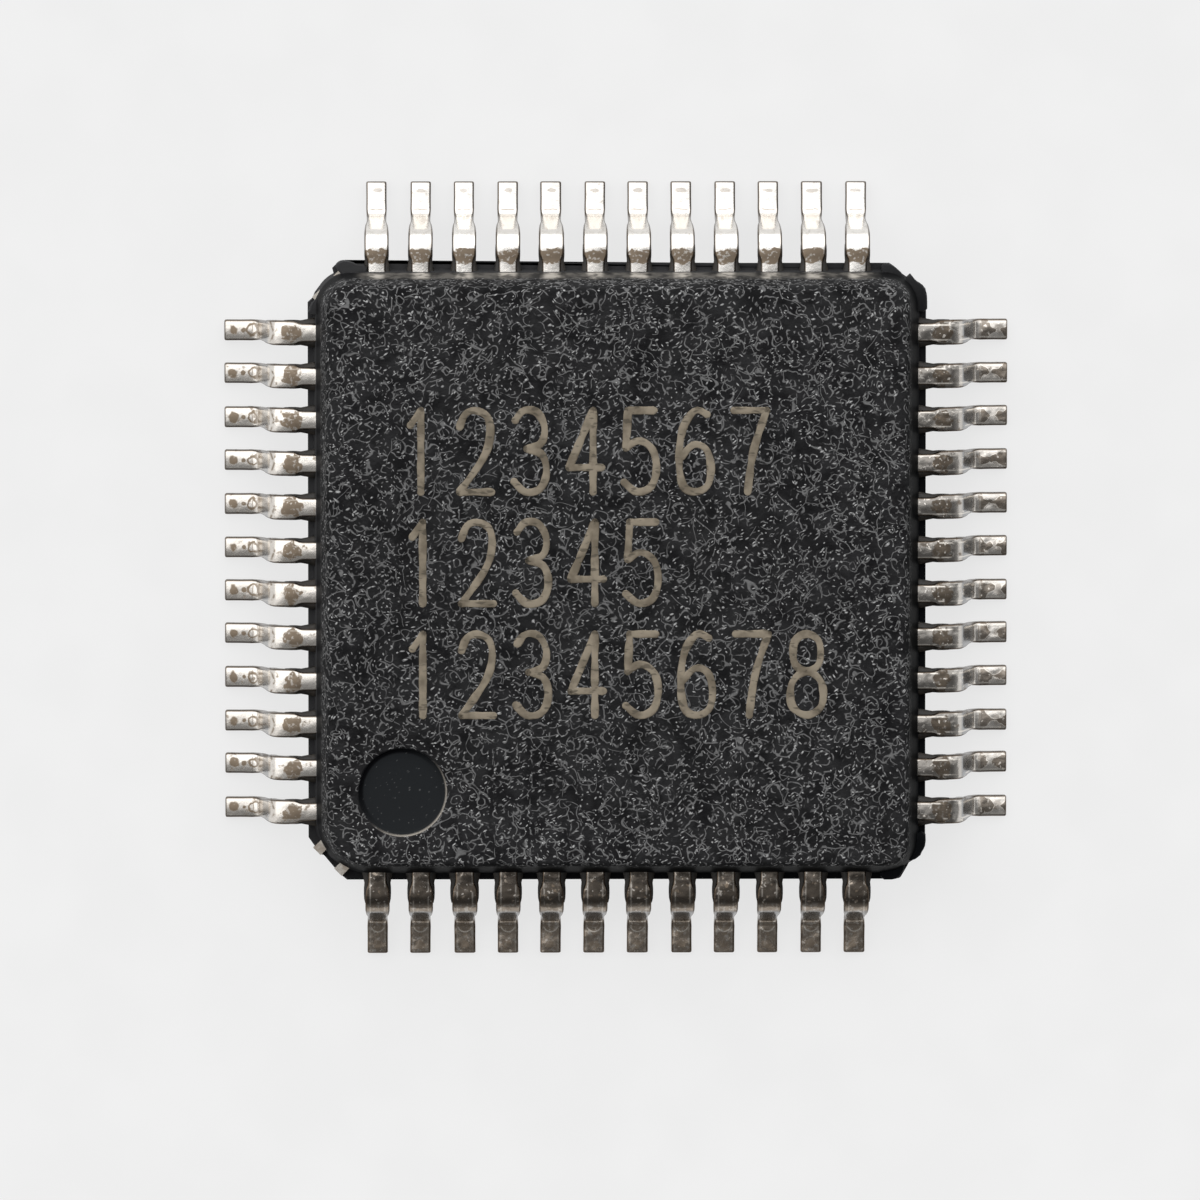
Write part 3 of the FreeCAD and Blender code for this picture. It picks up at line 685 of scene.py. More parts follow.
# Common finishes: two shades, noise features per millimetre, relief in millimetres.
FINISHES = {
    # Silver plated copper frame: pale, slightly warm and satin.
    "satin_plated_copper": {
        "first": "#cfc9c0", "second": "#a79d91", "scale": 9.0,
        "roughness": 0.24, "relief": 0.002, "metallic": 1.0,
    },
    # Thin resin flash: black-brown, brittle and dull.
    "thin_resin_flash": {
        "first": "#17140f", "second": "#2c2620", "scale": 14.0,
        "roughness": 0.45, "relief": 0.006, "metallic": 0.0,
    },
    # Silver filled epoxy: grey paste with fine flakes.
    "silver_filled_epoxy": {
        "first": "#a9a9a6", "second": "#7d7c78", "scale": 26.0,
        "roughness": 0.5, "relief": 0.003, "metallic": 0.6,
    },
    # Polished silicon with aluminium tracks too fine to show: dark blue-grey and shiny.
    "polished_silicon": {
        "first": "#4a4f5c", "second": "#6a6f7a", "scale": 3.0,
        "roughness": 0.12, "relief": 0.0003, "metallic": 0.9,
    },
    # Drawn gold wire: yellow and bright.
    "drawn_gold": {
        "first": "#e3b455", "second": "#d19f3e", "scale": 18.0,
        "roughness": 0.18, "relief": 0.0004, "metallic": 1.0,
    },
}


def make_marking(colours):
    """Pale marking burnt into the compound: a dry tan-grey line, mottled where it took unevenly."""
    material, tree = new_material("burnt_marking")
    step = partial(derive, tree)
    place = millimetres(tree)
    mix = step("ramp", step("noise", place, 5.5, 3.0), 0.35, 0.68)
    coloured = step("blend", mix, colours.marking, colours.marking_dark)
    inputs = {"Vector": place, "Rotation": (0.0, 0.0, 0.5), "Scale": (0.35, 1.0, 1.0)}
    streaked = add_node(tree, "ShaderNodeMapping", inputs).outputs["Vector"]
    streaks = step("ramp", step("noise", streaked, 18.0, 2.0), 0.57, 0.66, 0.0, 0.75)
    shader_inputs = {
        "Base Color": step("blend", streaks, coloured, MARKING_STREAK),
        "Roughness": 0.7,
        "Specular IOR Level": 0.25,
    }
    end_material(tree, shader_inputs, step("noise", place, 22.0, 3.0), 0.6, 0.004)
    return material


def make_floor_paint(colours):
    """Matt pale board. Seen directly or in metal it keeps most of its own colour under the soft shadow."""
    material, tree = new_material("matt_pale_board")
    step = partial(derive, tree)
    place = add_node(tree, "ShaderNodeTexCoord").outputs["Object"]
    fibres = step("ramp", step("noise", place, 900.0, 2.0), 0.3, 0.7, 0.0, 1.0)
    shade = step("blend", fibres, colours.floor, FLOOR_FIBRE)
    board = add_node(tree, "ShaderNodeBsdfDiffuse", {"Color": shade})
    glow = add_node(tree, "ShaderNodeEmission", {"Color": shade, "Strength": 1.01})
    path = add_node(tree, "ShaderNodeLightPath")
    rays = ("Is Camera Ray", "Is Glossy Ray", "Is Transmission Ray")
    share = step("times", highest(tree, [path.outputs[name] for name in rays]), 0.85)
    mixed = add_node(tree, "ShaderNodeMixShader", {0: share, 1: board.outputs[0], 2: glow.outputs[0]})
    add_node(tree, "ShaderNodeOutputMaterial", {"Surface": mixed.outputs[0]})
    return material


# Meshes.


# Angles between faces past which an edge stays crisp.
MOULDING_CREASE = math.radians(28)
LEAD_CREASE = math.radians(40)


def finish_mesh(name, bm, sharp_angle=None):
    """Turn a bmesh into a mesh with outward normals, smooth where its faces nearly line up."""
    bmesh.ops.recalc_face_normals(bm, faces=bm.faces)
    mesh = bpy.data.meshes.new(name)
    bm.to_mesh(mesh)
    bm.free()
    mesh.shade_smooth()
    if sharp_angle is not None:
        mesh.set_sharp_from_angle(angle=sharp_angle)
    return mesh


def add_piece(name, mesh, material, nodes=()):
    """Put a mesh into the scene as a piece that rides on the chip."""
    piece = bpy.data.objects.new(name, mesh)
    bpy.context.scene.collection.objects.link(piece)
    mesh.materials.clear()
    mesh.materials.append(material)
    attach(piece, "root")
    if nodes:
        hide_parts(*nodes)
    return piece


def rounded_outline(half, radii, steps=12):
    """Square outline with its own radius at each corner, from the near right corner anticlockwise."""
    points = []
    for corner, (sign_x, sign_y) in enumerate(((1, -1), (1, 1), (-1, 1), (-1, -1))):
        radius = radii[corner]
        centre = Vector((sign_x * (half - radius), sign_y * (half - radius)))
        for step in range(steps + 1):
            angle = math.radians(90 * (corner - 1 + step / steps))
            points.append(centre + radius * Vector((math.cos(angle), math.sin(angle))))
    return points


def chamfered_outline(half, chamfer):
    """Square outline with bevelled corners, from the near right corner anticlockwise."""
    near = half - chamfer
    return [Vector(point) for point in (
        (near, -half), (half, -near), (half, near), (near, half),
        (-near, half), (-half, near), (-half, -near), (-near, -half),
    )]


# Lower half at the parting line with its corner flash, in millimetres from the middle, anticlockwise.
PARTING_OUTLINE = (
    (3.099, -3.540), (3.236, -3.534), (3.259, -3.521), (3.293, -3.463), (3.339, -3.383), (3.362, -3.337),
    (3.431, -3.314), (3.488, -3.268), (3.511, -3.211), (3.540, -3.153),
    (3.540, 3.027), (3.545, 3.188), (3.534, 3.245), (3.499, 3.291), (3.427, 3.326), (3.402, 3.360),
    (3.358, 3.420), (3.293, 3.360), (3.224, 3.429), (3.151, 3.464), (3.121, 3.540),
    (-3.041, 3.540), (-3.110, 3.578), (-3.167, 3.552), (-3.225, 3.521), (-3.259, 3.487), (-3.236, 3.406),
    (-3.282, 3.389), (-3.328, 3.337), (-3.408, 3.280), (-3.459, 3.211), (-3.488, 3.130), (-3.540, 3.096),
    (-3.540, -3.050), (-3.459, -3.165), (-3.408, -3.245), (-3.362, -3.257), (-3.293, -3.257),
    (-3.247, -3.337), (-3.224, -3.429), (-3.156, -3.492), (-3.099, -3.540),
)


# Lumps of flash over the lead frame at three corners, in millimetres from the middle, anticlockwise.
FLASH_LUMPS = (
    (
        (-3.19, 3.45), (-3.13, 3.40), (-2.86, 3.38), (-2.86, 3.53), (-2.97, 3.53), (-3.03, 3.56),
        (-3.11, 3.58), (-3.18, 3.57), (-3.23, 3.52),
    ),
    (
        (-3.54, 2.96), (-3.36, 2.94), (-3.24, 3.06), (-3.25, 3.28), (-3.31, 3.31), (-3.37, 3.25),
        (-3.43, 3.19), (-3.455, 3.13), (-3.51, 3.08),
    ),
    ((3.02, 3.38), (3.20, 3.30), (3.31, 3.34), (3.27, 3.42), (3.18, 3.50), (3.12, 3.54), (3.02, 3.54)),
    (
        (3.36, 2.98), (3.55, 2.98), (3.55, 3.14), (3.54, 3.22), (3.49, 3.30), (3.42, 3.34), (3.36, 3.42),
        (3.28, 3.34), (3.30, 3.16),
    ),
    ((3.02, -3.54), (3.20, -3.54), (3.25, -3.49), (3.31, -3.40), (3.28, -3.31), (3.14, -3.30), (3.02, -3.38)),
    (
        (3.30, -3.20), (3.36, -3.00), (3.54, -2.98), (3.545, -3.13), (3.51, -3.21), (3.44, -3.29),
        (3.36, -3.33), (3.29, -3.30),
    ),
)


def add_loop(bm, points, height):
    """Add a closed loop of vertices at a height."""
    return [bm.verts.new((point[0], point[1], height)) for point in points]


def rounder(points):
    """Cut every corner of a closed outline."""
    cut = []
    for first, second in zip(points, points[1:] + points[:1]):
        cut.append(first.lerp(second, 0.25))
        cut.append(first.lerp(second, 0.75))
    return cut


def add_lump(bm, outline, low, high):
    """A closed lump with a rounded top over an outline."""
    points = rounder([Vector(point) * MM for point in outline])
    centre = sum(points, Vector((0.0, 0.0))) / len(points)
    levels = ((1.0, low), (1.0, high - 0.04 * MM), (0.95, high - 0.012 * MM), (0.8, high))
    loops = []
    for share, height in levels:
        loops.append(add_loop(bm, [centre + (point - centre) * share for point in points], height))
    close_body(bm, loops)


def walk(vertices, start, end):
    """The vertices of a closed loop from one place to another, both included."""
    count = len(vertices)
    return [vertices[(start + step) % count] for step in range((end - start) % count + 1)]


def fill_between(bm, outer, inner):
    """Close the flat ring between two anticlockwise loops with two faces, cut along the diagonal."""
    def ends(loop):
        along = [vertex.co.x + vertex.co.y for vertex in loop]
        return along.index(min(along)), along.index(max(along))

    near_outer, far_outer = ends(outer)
    near_inner, far_inner = ends(inner)
    bm.faces.new(walk(outer, near_outer, far_outer) + walk(inner, near_inner, far_inner)[::-1])
    bm.faces.new(walk(outer, far_outer, near_outer) + walk(inner, far_inner, near_inner)[::-1])


def stitch(bm, lower, upper):
    """Join two anticlockwise loops with triangles, walking round both by direction from the middle."""
    def direction(vertex):
        return math.atan2(vertex.co.y, vertex.co.x)

    rings = []
    for loop in (lower, upper):
        start = min(range(len(loop)), key=lambda place: direction(loop[place]))
        rings.append(loop[start:] + loop[:start])
    reached = [0, 0]
    while reached[0] < len(rings[0]) or reached[1] < len(rings[1]):
        nexts = []
        for ring, place in zip(rings, reached):
            turn = math.tau if place + 1 >= len(ring) else 0.0
            ahead = direction(ring[(place + 1) % len(ring)]) + turn
            nexts.append(ahead if place < len(ring) else math.inf)
        side = 0 if nexts[0] <= nexts[1] else 1
        here = [ring[place % len(ring)] for ring, place in zip(rings, reached)]
        ahead = rings[side][(reached[side] + 1) % len(rings[side])]
        bm.faces.new((here[0], ahead, here[1]))
        reached[side] += 1


def join_loops(bm, loops):
    """Join each loop to the next, with four-sided faces where they have as many corners."""
    for lower, upper in zip(loops, loops[1:]):
        if len(lower) != len(upper):
            stitch(bm, lower, upper)
            continue
        for place in range(len(lower)):
            after = (place + 1) % len(lower)
            bm.faces.new((lower[place], lower[after], upper[after], upper[place]))


def close_body(bm, loops):
    """Join loops to a body with a face at each end."""
    join_loops(bm, loops)
    bm.faces.new(loops[0])
    bm.faces.new(loops[-1])


def upper_side(sizes, top):
    """Inset and height of the upper half's side, from the parting line over the rounded edge."""
    slope = math.tan(sizes.draft)
    radius = sizes.edge_radius
    centre_height = top - radius
    centre_inset = (centre_height - sizes.parting_height) * slope + radius / math.cos(sizes.draft)
    side = [(0.0, sizes.parting_height)]
    steps = 5
    for step in range(steps + 1):
        angle = sizes.draft + (math.pi / 2 - sizes.draft) * step / steps
        side.append((centre_inset - radius * math.cos(angle), centre_height + radius * math.sin(angle)))
    return side


def make_moulding(sizes):
    """Moulded body: lower half with corner flash, ledge, drafted upper half and pin-one dimple."""
    low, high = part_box("moulded_body")
    bm = bmesh.new()
    half_lower = sizes.lower_width / 2
    half_upper = sizes.upper_width / 2
    slope = math.tan(sizes.draft)
    under = sizes.parting_height - sizes.flash_depth
    foot_half = half_lower - (sizes.parting_height - low.z) * slope
    # The side ends a little inside the flash and a little below it, so that the outlines never cross.
    tuck = 0.004 * MM
    gap_below = 0.012 * MM
    under_half = half_lower - (sizes.parting_height - under) * slope - tuck
    parting = [Vector(point) * MM for point in PARTING_OUTLINE]
    edge = 0.03 * MM
    loops = [
        add_loop(bm, chamfered_outline(foot_half - edge, sizes.corner_chamfer), low.z),
        add_loop(bm, chamfered_outline(foot_half + edge * slope, sizes.corner_chamfer), low.z + edge),
        add_loop(bm, chamfered_outline(under_half, sizes.corner_chamfer), under - gap_below),
        add_loop(bm, parting, under),
        add_loop(bm, parting, sizes.parting_height),
    ]
    corner = sizes.corner_radius
    for inset, height in upper_side(sizes, high.z):
        radii = [corner - inset, corner - inset, corner - inset, sizes.marked_radius - inset]
        loops.append(add_loop(bm, rounded_outline(half_upper - inset, radii), height))
    join_loops(bm, loops)
    bm.faces.new(loops[0])
    add_dimple(bm, sizes, loops[-1], high.z)
    lump_rise = 0.02 * MM
    lump_bite = 0.01 * MM
    for outline in FLASH_LUMPS:
        add_lump(bm, outline, under + lump_bite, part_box("lead_01")[1].z + lump_rise)
    return finish_mesh("moulding", bm, MOULDING_CREASE)


def add_dimple(bm, sizes, rim, top):
    """Close the top with a round, crisp-edged dimple in its pin-one corner."""
    middle = sizes.dimple_inset - sizes.upper_width / 2
    radius = sizes.dimple_diameter / 2
    depth = sizes.dimple_depth
    lip = 0.008 * MM
    profile = [
        (radius + lip, 0.0), (radius + lip * 0.3, lip * 0.3), (radius, lip), (radius - lip, depth - 2 * lip),
        (radius - 3 * lip, depth - lip * 0.5), (radius - 6 * lip, depth), (radius * 0.5, depth + lip * 0.4),
    ]
    steps = 72
    turns = [math.tau * step / steps for step in range(steps)]
    loops = []
    for reach, drop in profile:
        points = [(middle + reach * math.cos(turn), middle + reach * math.sin(turn)) for turn in turns]
        loops.append(add_loop(bm, points, top - drop))
    join_loops(bm, loops)
    bm.faces.new(loops[-1])
    fill_between(bm, rim, loops[0])


# Width of a lead against the plan distance from its tip, both in millimetres.
LEAD_WIDTHS = (
    (0.000, 0.228), (0.015, 0.238), (0.200, 0.236), (0.316, 0.240), (0.400, 0.230), (0.455, 0.218),
    (0.495, 0.232), (0.535, 0.272), (0.600, 0.284), (0.700, 0.284), (0.780, 0.280), (0.820, 0.264),
    (0.870, 0.220), (0.910, 0.212), (1.080, 0.212), (1.200, 0.200), (2.350, 0.160),
)


def width_at(distance):
    """Width of the lead at a plan distance from its tip, in metres."""
    place = distance / MM
    for (start, first), (end, last) in zip(LEAD_WIDTHS, LEAD_WIDTHS[1:]):
        if place <= end:
            share = max(0.0, (place - start) / (end - start))
            return (first + (last - first) * share) * MM
    return LEAD_WIDTHS[-1][1] * MM


# Distances of the sections along the foot, from the rounded tip on, and along the root, in millimetres.
FOOT_SECTIONS = (0.0, 0.004, 0.012, 0.03, 0.08, 0.13, 0.18, 0.24)
ROOT_SECTIONS = (0.80, 0.83, 0.86, 0.90, 0.96, 1.06, 1.2)
BEND_STEPS = 9
SHANK_STEPS = 5


def across_slope(angle):
    """Direction square to a slope, on its lower side."""
    return Vector((math.sin(angle), -math.cos(angle)))


def bend(centre, radius, start, end):
    """Stations round a bend from one slope to another; a negative radius turns downwards."""
    stations = []
    for step in range(BEND_STEPS + 1):
        angle = start + (end - start) * step / BEND_STEPS
        stations.append((centre + radius * across_slope(angle), angle))
    return stations


def lead_line(sizes):
    """Middle line of the lead from its tip: place along and above the seat, and slope, at each station."""
    radius = sizes.bend_radius + sizes.thickness / 2
    foot_angle, shank_angle = sizes.foot_angle, sizes.shank_angle
    seat = sizes.thickness / 2
    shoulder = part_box("lead_01")[1].z - sizes.thickness / 2
    rise = sizes.foot * math.sin(foot_angle)
    rise += radius * (math.cos(foot_angle) - math.cos(shank_angle)) + radius * (1 - math.cos(shank_angle))
    shank = (shoulder - seat - rise) / math.sin(shank_angle)
    tip = Vector((0.0, seat))
    forward = Vector((math.cos(foot_angle), math.sin(foot_angle)))
    low_centre = tip + sizes.foot * forward - radius * across_slope(foot_angle)
    low_end = low_centre + radius * across_slope(shank_angle)
    high_start = low_end + shank * Vector((math.cos(shank_angle), math.sin(shank_angle)))
    high_centre = high_start + radius * across_slope(shank_angle)
    stations = [(tip + distance * MM * forward, foot_angle) for distance in FOOT_SECTIONS]
    stations += bend(low_centre, radius, foot_angle, shank_angle)
    for step in range(1, SHANK_STEPS):
        stations.append((low_end.lerp(high_start, step / SHANK_STEPS), shank_angle))
    stations += bend(high_centre, -radius, shank_angle, 0.0)
    last = stations[-1][0]
    inner_end = sizes.span / 2 - sizes.finger_reach
    for distance in (*ROOT_SECTIONS, inner_end / MM):
        if distance * MM > last.x + 0.01 * MM:
            stations.append((Vector((distance * MM, last.y)), 0.0))
    return stations


def strip_section(half_width, half_thickness, radius):
    """Outline of the strip: a rectangle with rounded edges, as sideways and upward offsets,
    each with how far its surface turns to the side."""
    points = []
    steps = 3
    for corner, (sign_x, sign_y) in enumerate(((1, -1), (1, 1), (-1, 1), (-1, -1))):
        for step in range(steps + 1):
            angle = math.radians(90 * (corner - 1 + step / steps))
            side = sign_x * (half_width - radius) + radius * math.cos(angle)
            lift = sign_y * (half_thickness - radius) + radius * math.sin(angle)
            points.append((side, lift, abs(math.cos(angle))))
    return points


# The first sections round the tip off: their share of the full section, and how brown their rim is.
TIP_SCALES = {0: 0.62, 1: 0.86}
TIP_RIMS = {0: 1.0, 1: 0.9, 2: 0.4}
# Where the lead enters the moulding, from the middle of the chip.
WALL = 3.43 * MM


def make_lead(sizes):
    """One formed lead of the near side, with its distances kept as attributes for the plating."""
    bm = bmesh.new()
    names = ("along", "across", "rim", "inward", "outward")
    layers = {name: bm.verts.layers.float.new(name) for name in names}
    tip = -sizes.span / 2
    wall = sizes.span / 2 - WALL
    end = sizes.span / 2 - sizes.finger_reach
    loops = []
    for number, (point, angle) in enumerate(lead_line(sizes)):
        scale = TIP_SCALES.get(number, 1.0)
        half_width = width_at(point.x) / 2 - (1 - scale) * 0.03 * MM
        half_thickness = sizes.thickness / 2 * scale
        radius = sizes.edge_radius * scale
        loop = []
        for side, lift, turned in strip_section(half_width, half_thickness, radius):
            place = Vector((side, tip + point.x - lift * math.sin(angle), point.y + lift * math.cos(angle)))
            vertex = bm.verts.new(place)
            vertex[layers["along"]] = (place.y - tip) / MM
            vertex[layers["across"]] = side / MM
            vertex[layers["rim"]] = max(turned, TIP_RIMS.get(number, 0.0))
            vertex[layers["inward"]] = max(0.0, (point.x - wall) / (end - wall))
            vertex[layers["outward"]] = max(0.0, 1 - point.x / wall)
            loop.append(vertex)
        loops.append(loop)
    close_body(bm, loops)
    return finish_mesh("formed_lead", bm, LEAD_CREASE)


# Resin beside a lead: distance from the tip and how far it stands out, both in millimetres.
FLASH_REACH = (
    (0.65, -0.010), (0.70, 0.000), (0.76, 0.004), (0.82, 0.012), (0.88, 0.030),
    (0.95, 0.046), (1.02, 0.060), (1.10, 0.075),
)


def make_flash_strips(sizes):
    """The two thin strips of resin beside a lead's shoulder, widening towards the body."""
    bm = bmesh.new()
    tip = -sizes.span / 2
    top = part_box("lead_01")[1].z - 0.022 * MM
    low = top - sizes.thickness + 0.02 * MM
    covered = 0.06
    for side in (-1, 1):
        loops = []
        for distance, reach in FLASH_REACH:
            near = width_at(distance * MM) / 2 - covered * MM
            far = near + (covered + reach) * MM
            y = tip + distance * MM
            corners = (
                (side * near, y, low), (side * far, y, low),
                (side * far, y, top - 0.012 * MM), (side * near, y, top),
            )
            loops.append([bm.verts.new(corner) for corner in corners])
        close_body(bm, loops)
    return finish_mesh("flash_strips", bm)


# Geometry Nodes.


def new_tree(name, inputs):
    """Make a Geometry Nodes tree with named inputs, and give it with its input node."""
    tree = bpy.data.node_groups.new(name, "GeometryNodeTree")
    tree.interface.new_socket("Geometry", in_out="INPUT", socket_type="NodeSocketGeometry")
    for socket_name, kind in inputs:
        tree.interface.new_socket(socket_name, in_out="INPUT", socket_type=kind)
    tree.interface.new_socket("Geometry", in_out="OUTPUT", socket_type="NodeSocketGeometry")
    return tree, tree.nodes.new("NodeGroupInput")


def end_tree(tree, geometry, material):
    """Close a tree: real geometry with its material."""
    real = add_node(tree, "GeometryNodeRealizeInstances", {"Geometry": geometry})
    coated = add_node(tree, "GeometryNodeSetMaterial", {"Geometry": real.outputs[0], "Material": material})
    add_node(tree, "NodeGroupOutput", {"Geometry": coated.outputs[0]})


def run_tree(tree, mesh, values):
    """Run a tree on a mesh, and give the result as a plain mesh."""
    carrier = bpy.data.objects.new("carrier", mesh)
    bpy.context.scene.collection.objects.link(carrier)
    modifier = carrier.modifiers.new("Rows", "NODES")
    modifier.node_group = tree
    for item in tree.interface.items_tree:
        if item.in_out == "INPUT" and item.name in values:
            modifier[item.identifier] = values[item.name]
    evaluated = carrier.evaluated_get(bpy.context.evaluated_depsgraph_get())
    result = bpy.data.meshes.new_from_object(evaluated)
    carrier.modifiers.clear()
    bpy.data.objects.remove(carrier)
    return result


ROW_INPUTS = (
    ("Leads per Side", "NodeSocketInt"),
    ("Pitch", "NodeSocketFloat"),
    ("Side Inset", "NodeSocketFloat"),
    ("Fan", "NodeSocketFloat"),
    ("Sway", "NodeSocketFloat"),
    ("Width Spread", "NodeSocketFloat"),
    ("Near Row Gain", "NodeSocketFloat"),
    ("Seed", "NodeSocketInt"),
    ("Material", "NodeSocketMaterial"),
)


def make_rows_tree():
    """Tree that sets a lead twelve times along each of four sides, and fans the inner ends together."""
    tree, given = new_tree("lead_rows", ROW_INPUTS)
    step = partial(derive, tree)
    index = add_node(tree, "GeometryNodeInputIndex").outputs[0]
    per_side = given.outputs["Leads per Side"]
    side = step("floor", step("over", index, per_side))
    turn = step("times", side, math.pi / 2)
    middle = step("times", step("minus", per_side, 1.0), 0.5)
    offset = step("minus", step("rest", index, per_side), middle)
    even = step("minus", 1.0, step("rest", side, 2.0))
    along = step("times", offset, given.outputs["Pitch"])
    inset = step("times", even, given.outputs["Side Inset"])
    place = step("turn", step("join", along, inset), turn)
    count = step("times", per_side, float(SIDES))
    points = add_node(tree, "GeometryNodePoints", {"Count": count, "Position": place}).outputs[0]
    geometry = place_leads(tree, given, points, turn, side)
    geometry = store_fan(tree, given, geometry, offset, turn)
    real = add_node(tree, "GeometryNodeRealizeInstances", {"Geometry": geometry}).outputs[0]
    end_tree(tree, bend_leads(tree, real), given.outputs["Material"])
    return tree


def random_value(tree, given, low, high, extra):
    """A random number for each lead, from the tree's seed."""
    index = add_node(tree, "GeometryNodeInputIndex").outputs[0]
    seed = derive(tree, "plus", given.outputs["Seed"], float(extra))
    inputs = {2: low, 3: high, "ID": index, "Seed": seed}
    return add_node(tree, "FunctionNodeRandomValue", inputs, data_type="FLOAT").outputs[1]


def place_leads(tree, given, points, turn, side):
    """Put a lead on each point, turned to its side, with a slightly uneven width."""
    step = partial(derive, tree)
    varied = step("times", random_value(tree, given, -1.0, 1.0, 1), given.outputs["Width Spread"])
    gain = step("times", step("ramp", side, 0.0, 1.0, 1.0, 0.0), given.outputs["Near Row Gain"])
    width = step("plus", step("plus", varied, gain), 1.0)
    inputs = {
        "Points": points,
        "Instance": given.outputs["Geometry"],
        "Rotation": step("join", 0.0, 0.0, turn),
        "Scale": step("join", width, 1.0, 1.0),
    }
    return add_node(tree, "GeometryNodeInstanceOnPoints", inputs).outputs[0]


def store(tree, geometry, name, kind, value):
    """Keep a value on each lead under a name."""
    inputs = {"Geometry": geometry, "Name": name, "Value": value}
    settings = {"data_type": kind, "domain": "INSTANCE"}
    return add_node(tree, "GeometryNodeStoreNamedAttribute", inputs, **settings).outputs[0]


def store_fan(tree, given, geometry, offset, turn):
    """Keep each lead's tone, its fan towards the middle and the sway of its tip."""
    index = add_node(tree, "GeometryNodeInputIndex").outputs[0]
    fan = derive(tree, "times", offset, given.outputs["Fan"])
    sway = derive(tree, "times", random_value(tree, given, -1.0, 1.0, 2), given.outputs["Sway"])
    geometry = store(tree, geometry, "tone", "FLOAT", random_value(tree, given, 0.0, 1.0, 3))
    geometry = store(tree, geometry, "number", "FLOAT", index)
    for name, shift in (("fan", fan), ("swing", sway)):
        turned = derive(tree, "turn", derive(tree, "join", shift), turn)
        geometry = store(tree, geometry, name, "FLOAT_VECTOR", turned)
    return geometry


def bend_leads(tree, geometry):
    """Move the inner ends by the fan and the tips by the sway."""
    kind = "GeometryNodeInputNamedAttribute"
    parts = []
    for share_name, shift_name in (("inward", "fan"), ("outward", "swing")):
        share = add_node(tree, kind, {"Name": share_name}, data_type="FLOAT").outputs[0]
        shift = add_node(tree, kind, {"Name": shift_name}, data_type="FLOAT_VECTOR").outputs[0]
        parts.append(derive(tree, "grow", shift, share))
    total = derive(tree, "add", *parts)
    return add_node(tree, "GeometryNodeSetPosition", {"Geometry": geometry, "Offset": total}).outputs[0]


def row_values(sizes, material, seed):
    """Values for the rows tree."""
    return {
        "Leads per Side": sizes.per_side,
        "Pitch": sizes.pitch,
        "Side Inset": (sizes.span - sizes.span_along) / 2,
        "Fan": sizes.finger_pitch - sizes.pitch,
        "Sway": sizes.sway,
        "Width Spread": sizes.width_spread,
        "Near Row Gain": 0.0,
        "Seed": seed,
        "Material": material,
    }


MARKING_INPUTS = (
    ("Stroke Width", "NodeSocketFloat"),
    ("Thickness", "NodeSocketFloat"),
    ("Waviness", "NodeSocketFloat"),
    ("Material", "NodeSocketMaterial"),
)


def make_marking_tree():
    """Tree that draws round-ended strokes along the numerals' lines."""
    tree, given = new_tree("drawn_strokes", MARKING_INPUTS)
    curve = add_node(tree, "GeometryNodeMeshToCurve", {"Mesh": given.outputs["Geometry"]}).outputs[0]
    inputs = {"Curve": curve}
    smooth = add_node(tree, "GeometryNodeCurveSplineType", inputs, spline_type="CATMULL_ROM").outputs[0]
    inputs = {"Curve": smooth, "Length": 0.04 * MM}
    even = add_node(tree, "GeometryNodeResampleCurve", inputs, mode="LENGTH").outputs[0]
    radius = derive(tree, "times", given.outputs["Stroke Width"], 0.5)
    wave = add_node(tree, "ShaderNodeTexNoise", {"Scale": 4500.0, "Detail": 1.0}).outputs["Fac"]
    swing = derive(tree, "ramp", wave, 0.3, 0.7, -1.0, 1.0)
    share = derive(tree, "plus", derive(tree, "times", swing, given.outputs["Waviness"]), 1.0)
    inputs = {"Resolution": 10, "Radius": radius}
    circle = add_node(tree, "GeometryNodeCurvePrimitiveCircle", inputs).outputs[0]
    inputs = {"Curve": even, "Profile Curve": circle, "Scale": share, "Fill Caps": True}
    tubes = add_node(tree, "GeometryNodeCurveToMesh", inputs).outputs[0]
    inputs = {"Segments": 14, "Rings": 6, "Radius": radius}
    ball = add_node(tree, "GeometryNodeMeshUVSphere", inputs).outputs[0]
    ends = add_node(tree, "GeometryNodeCurveEndpointSelection").outputs[0]
    inputs = {"Points": even, "Selection": ends, "Instance": ball}
    caps = add_node(tree, "GeometryNodeInstanceOnPoints", inputs).outputs[0]
    joined = add_node(tree, "GeometryNodeJoinGeometry")
    tree.links.new(tubes, joined.inputs[0])
    tree.links.new(caps, joined.inputs[0])
    squeeze = derive(tree, "over", given.outputs["Thickness"], radius)
    inputs = {"Geometry": joined.outputs[0], "Scale": derive(tree, "join", 1.0, 1.0, squeeze)}
    flat = add_node(tree, "GeometryNodeTransform", inputs).outputs[0]
    end_tree(tree, flat, given.outputs["Material"])
    return tree


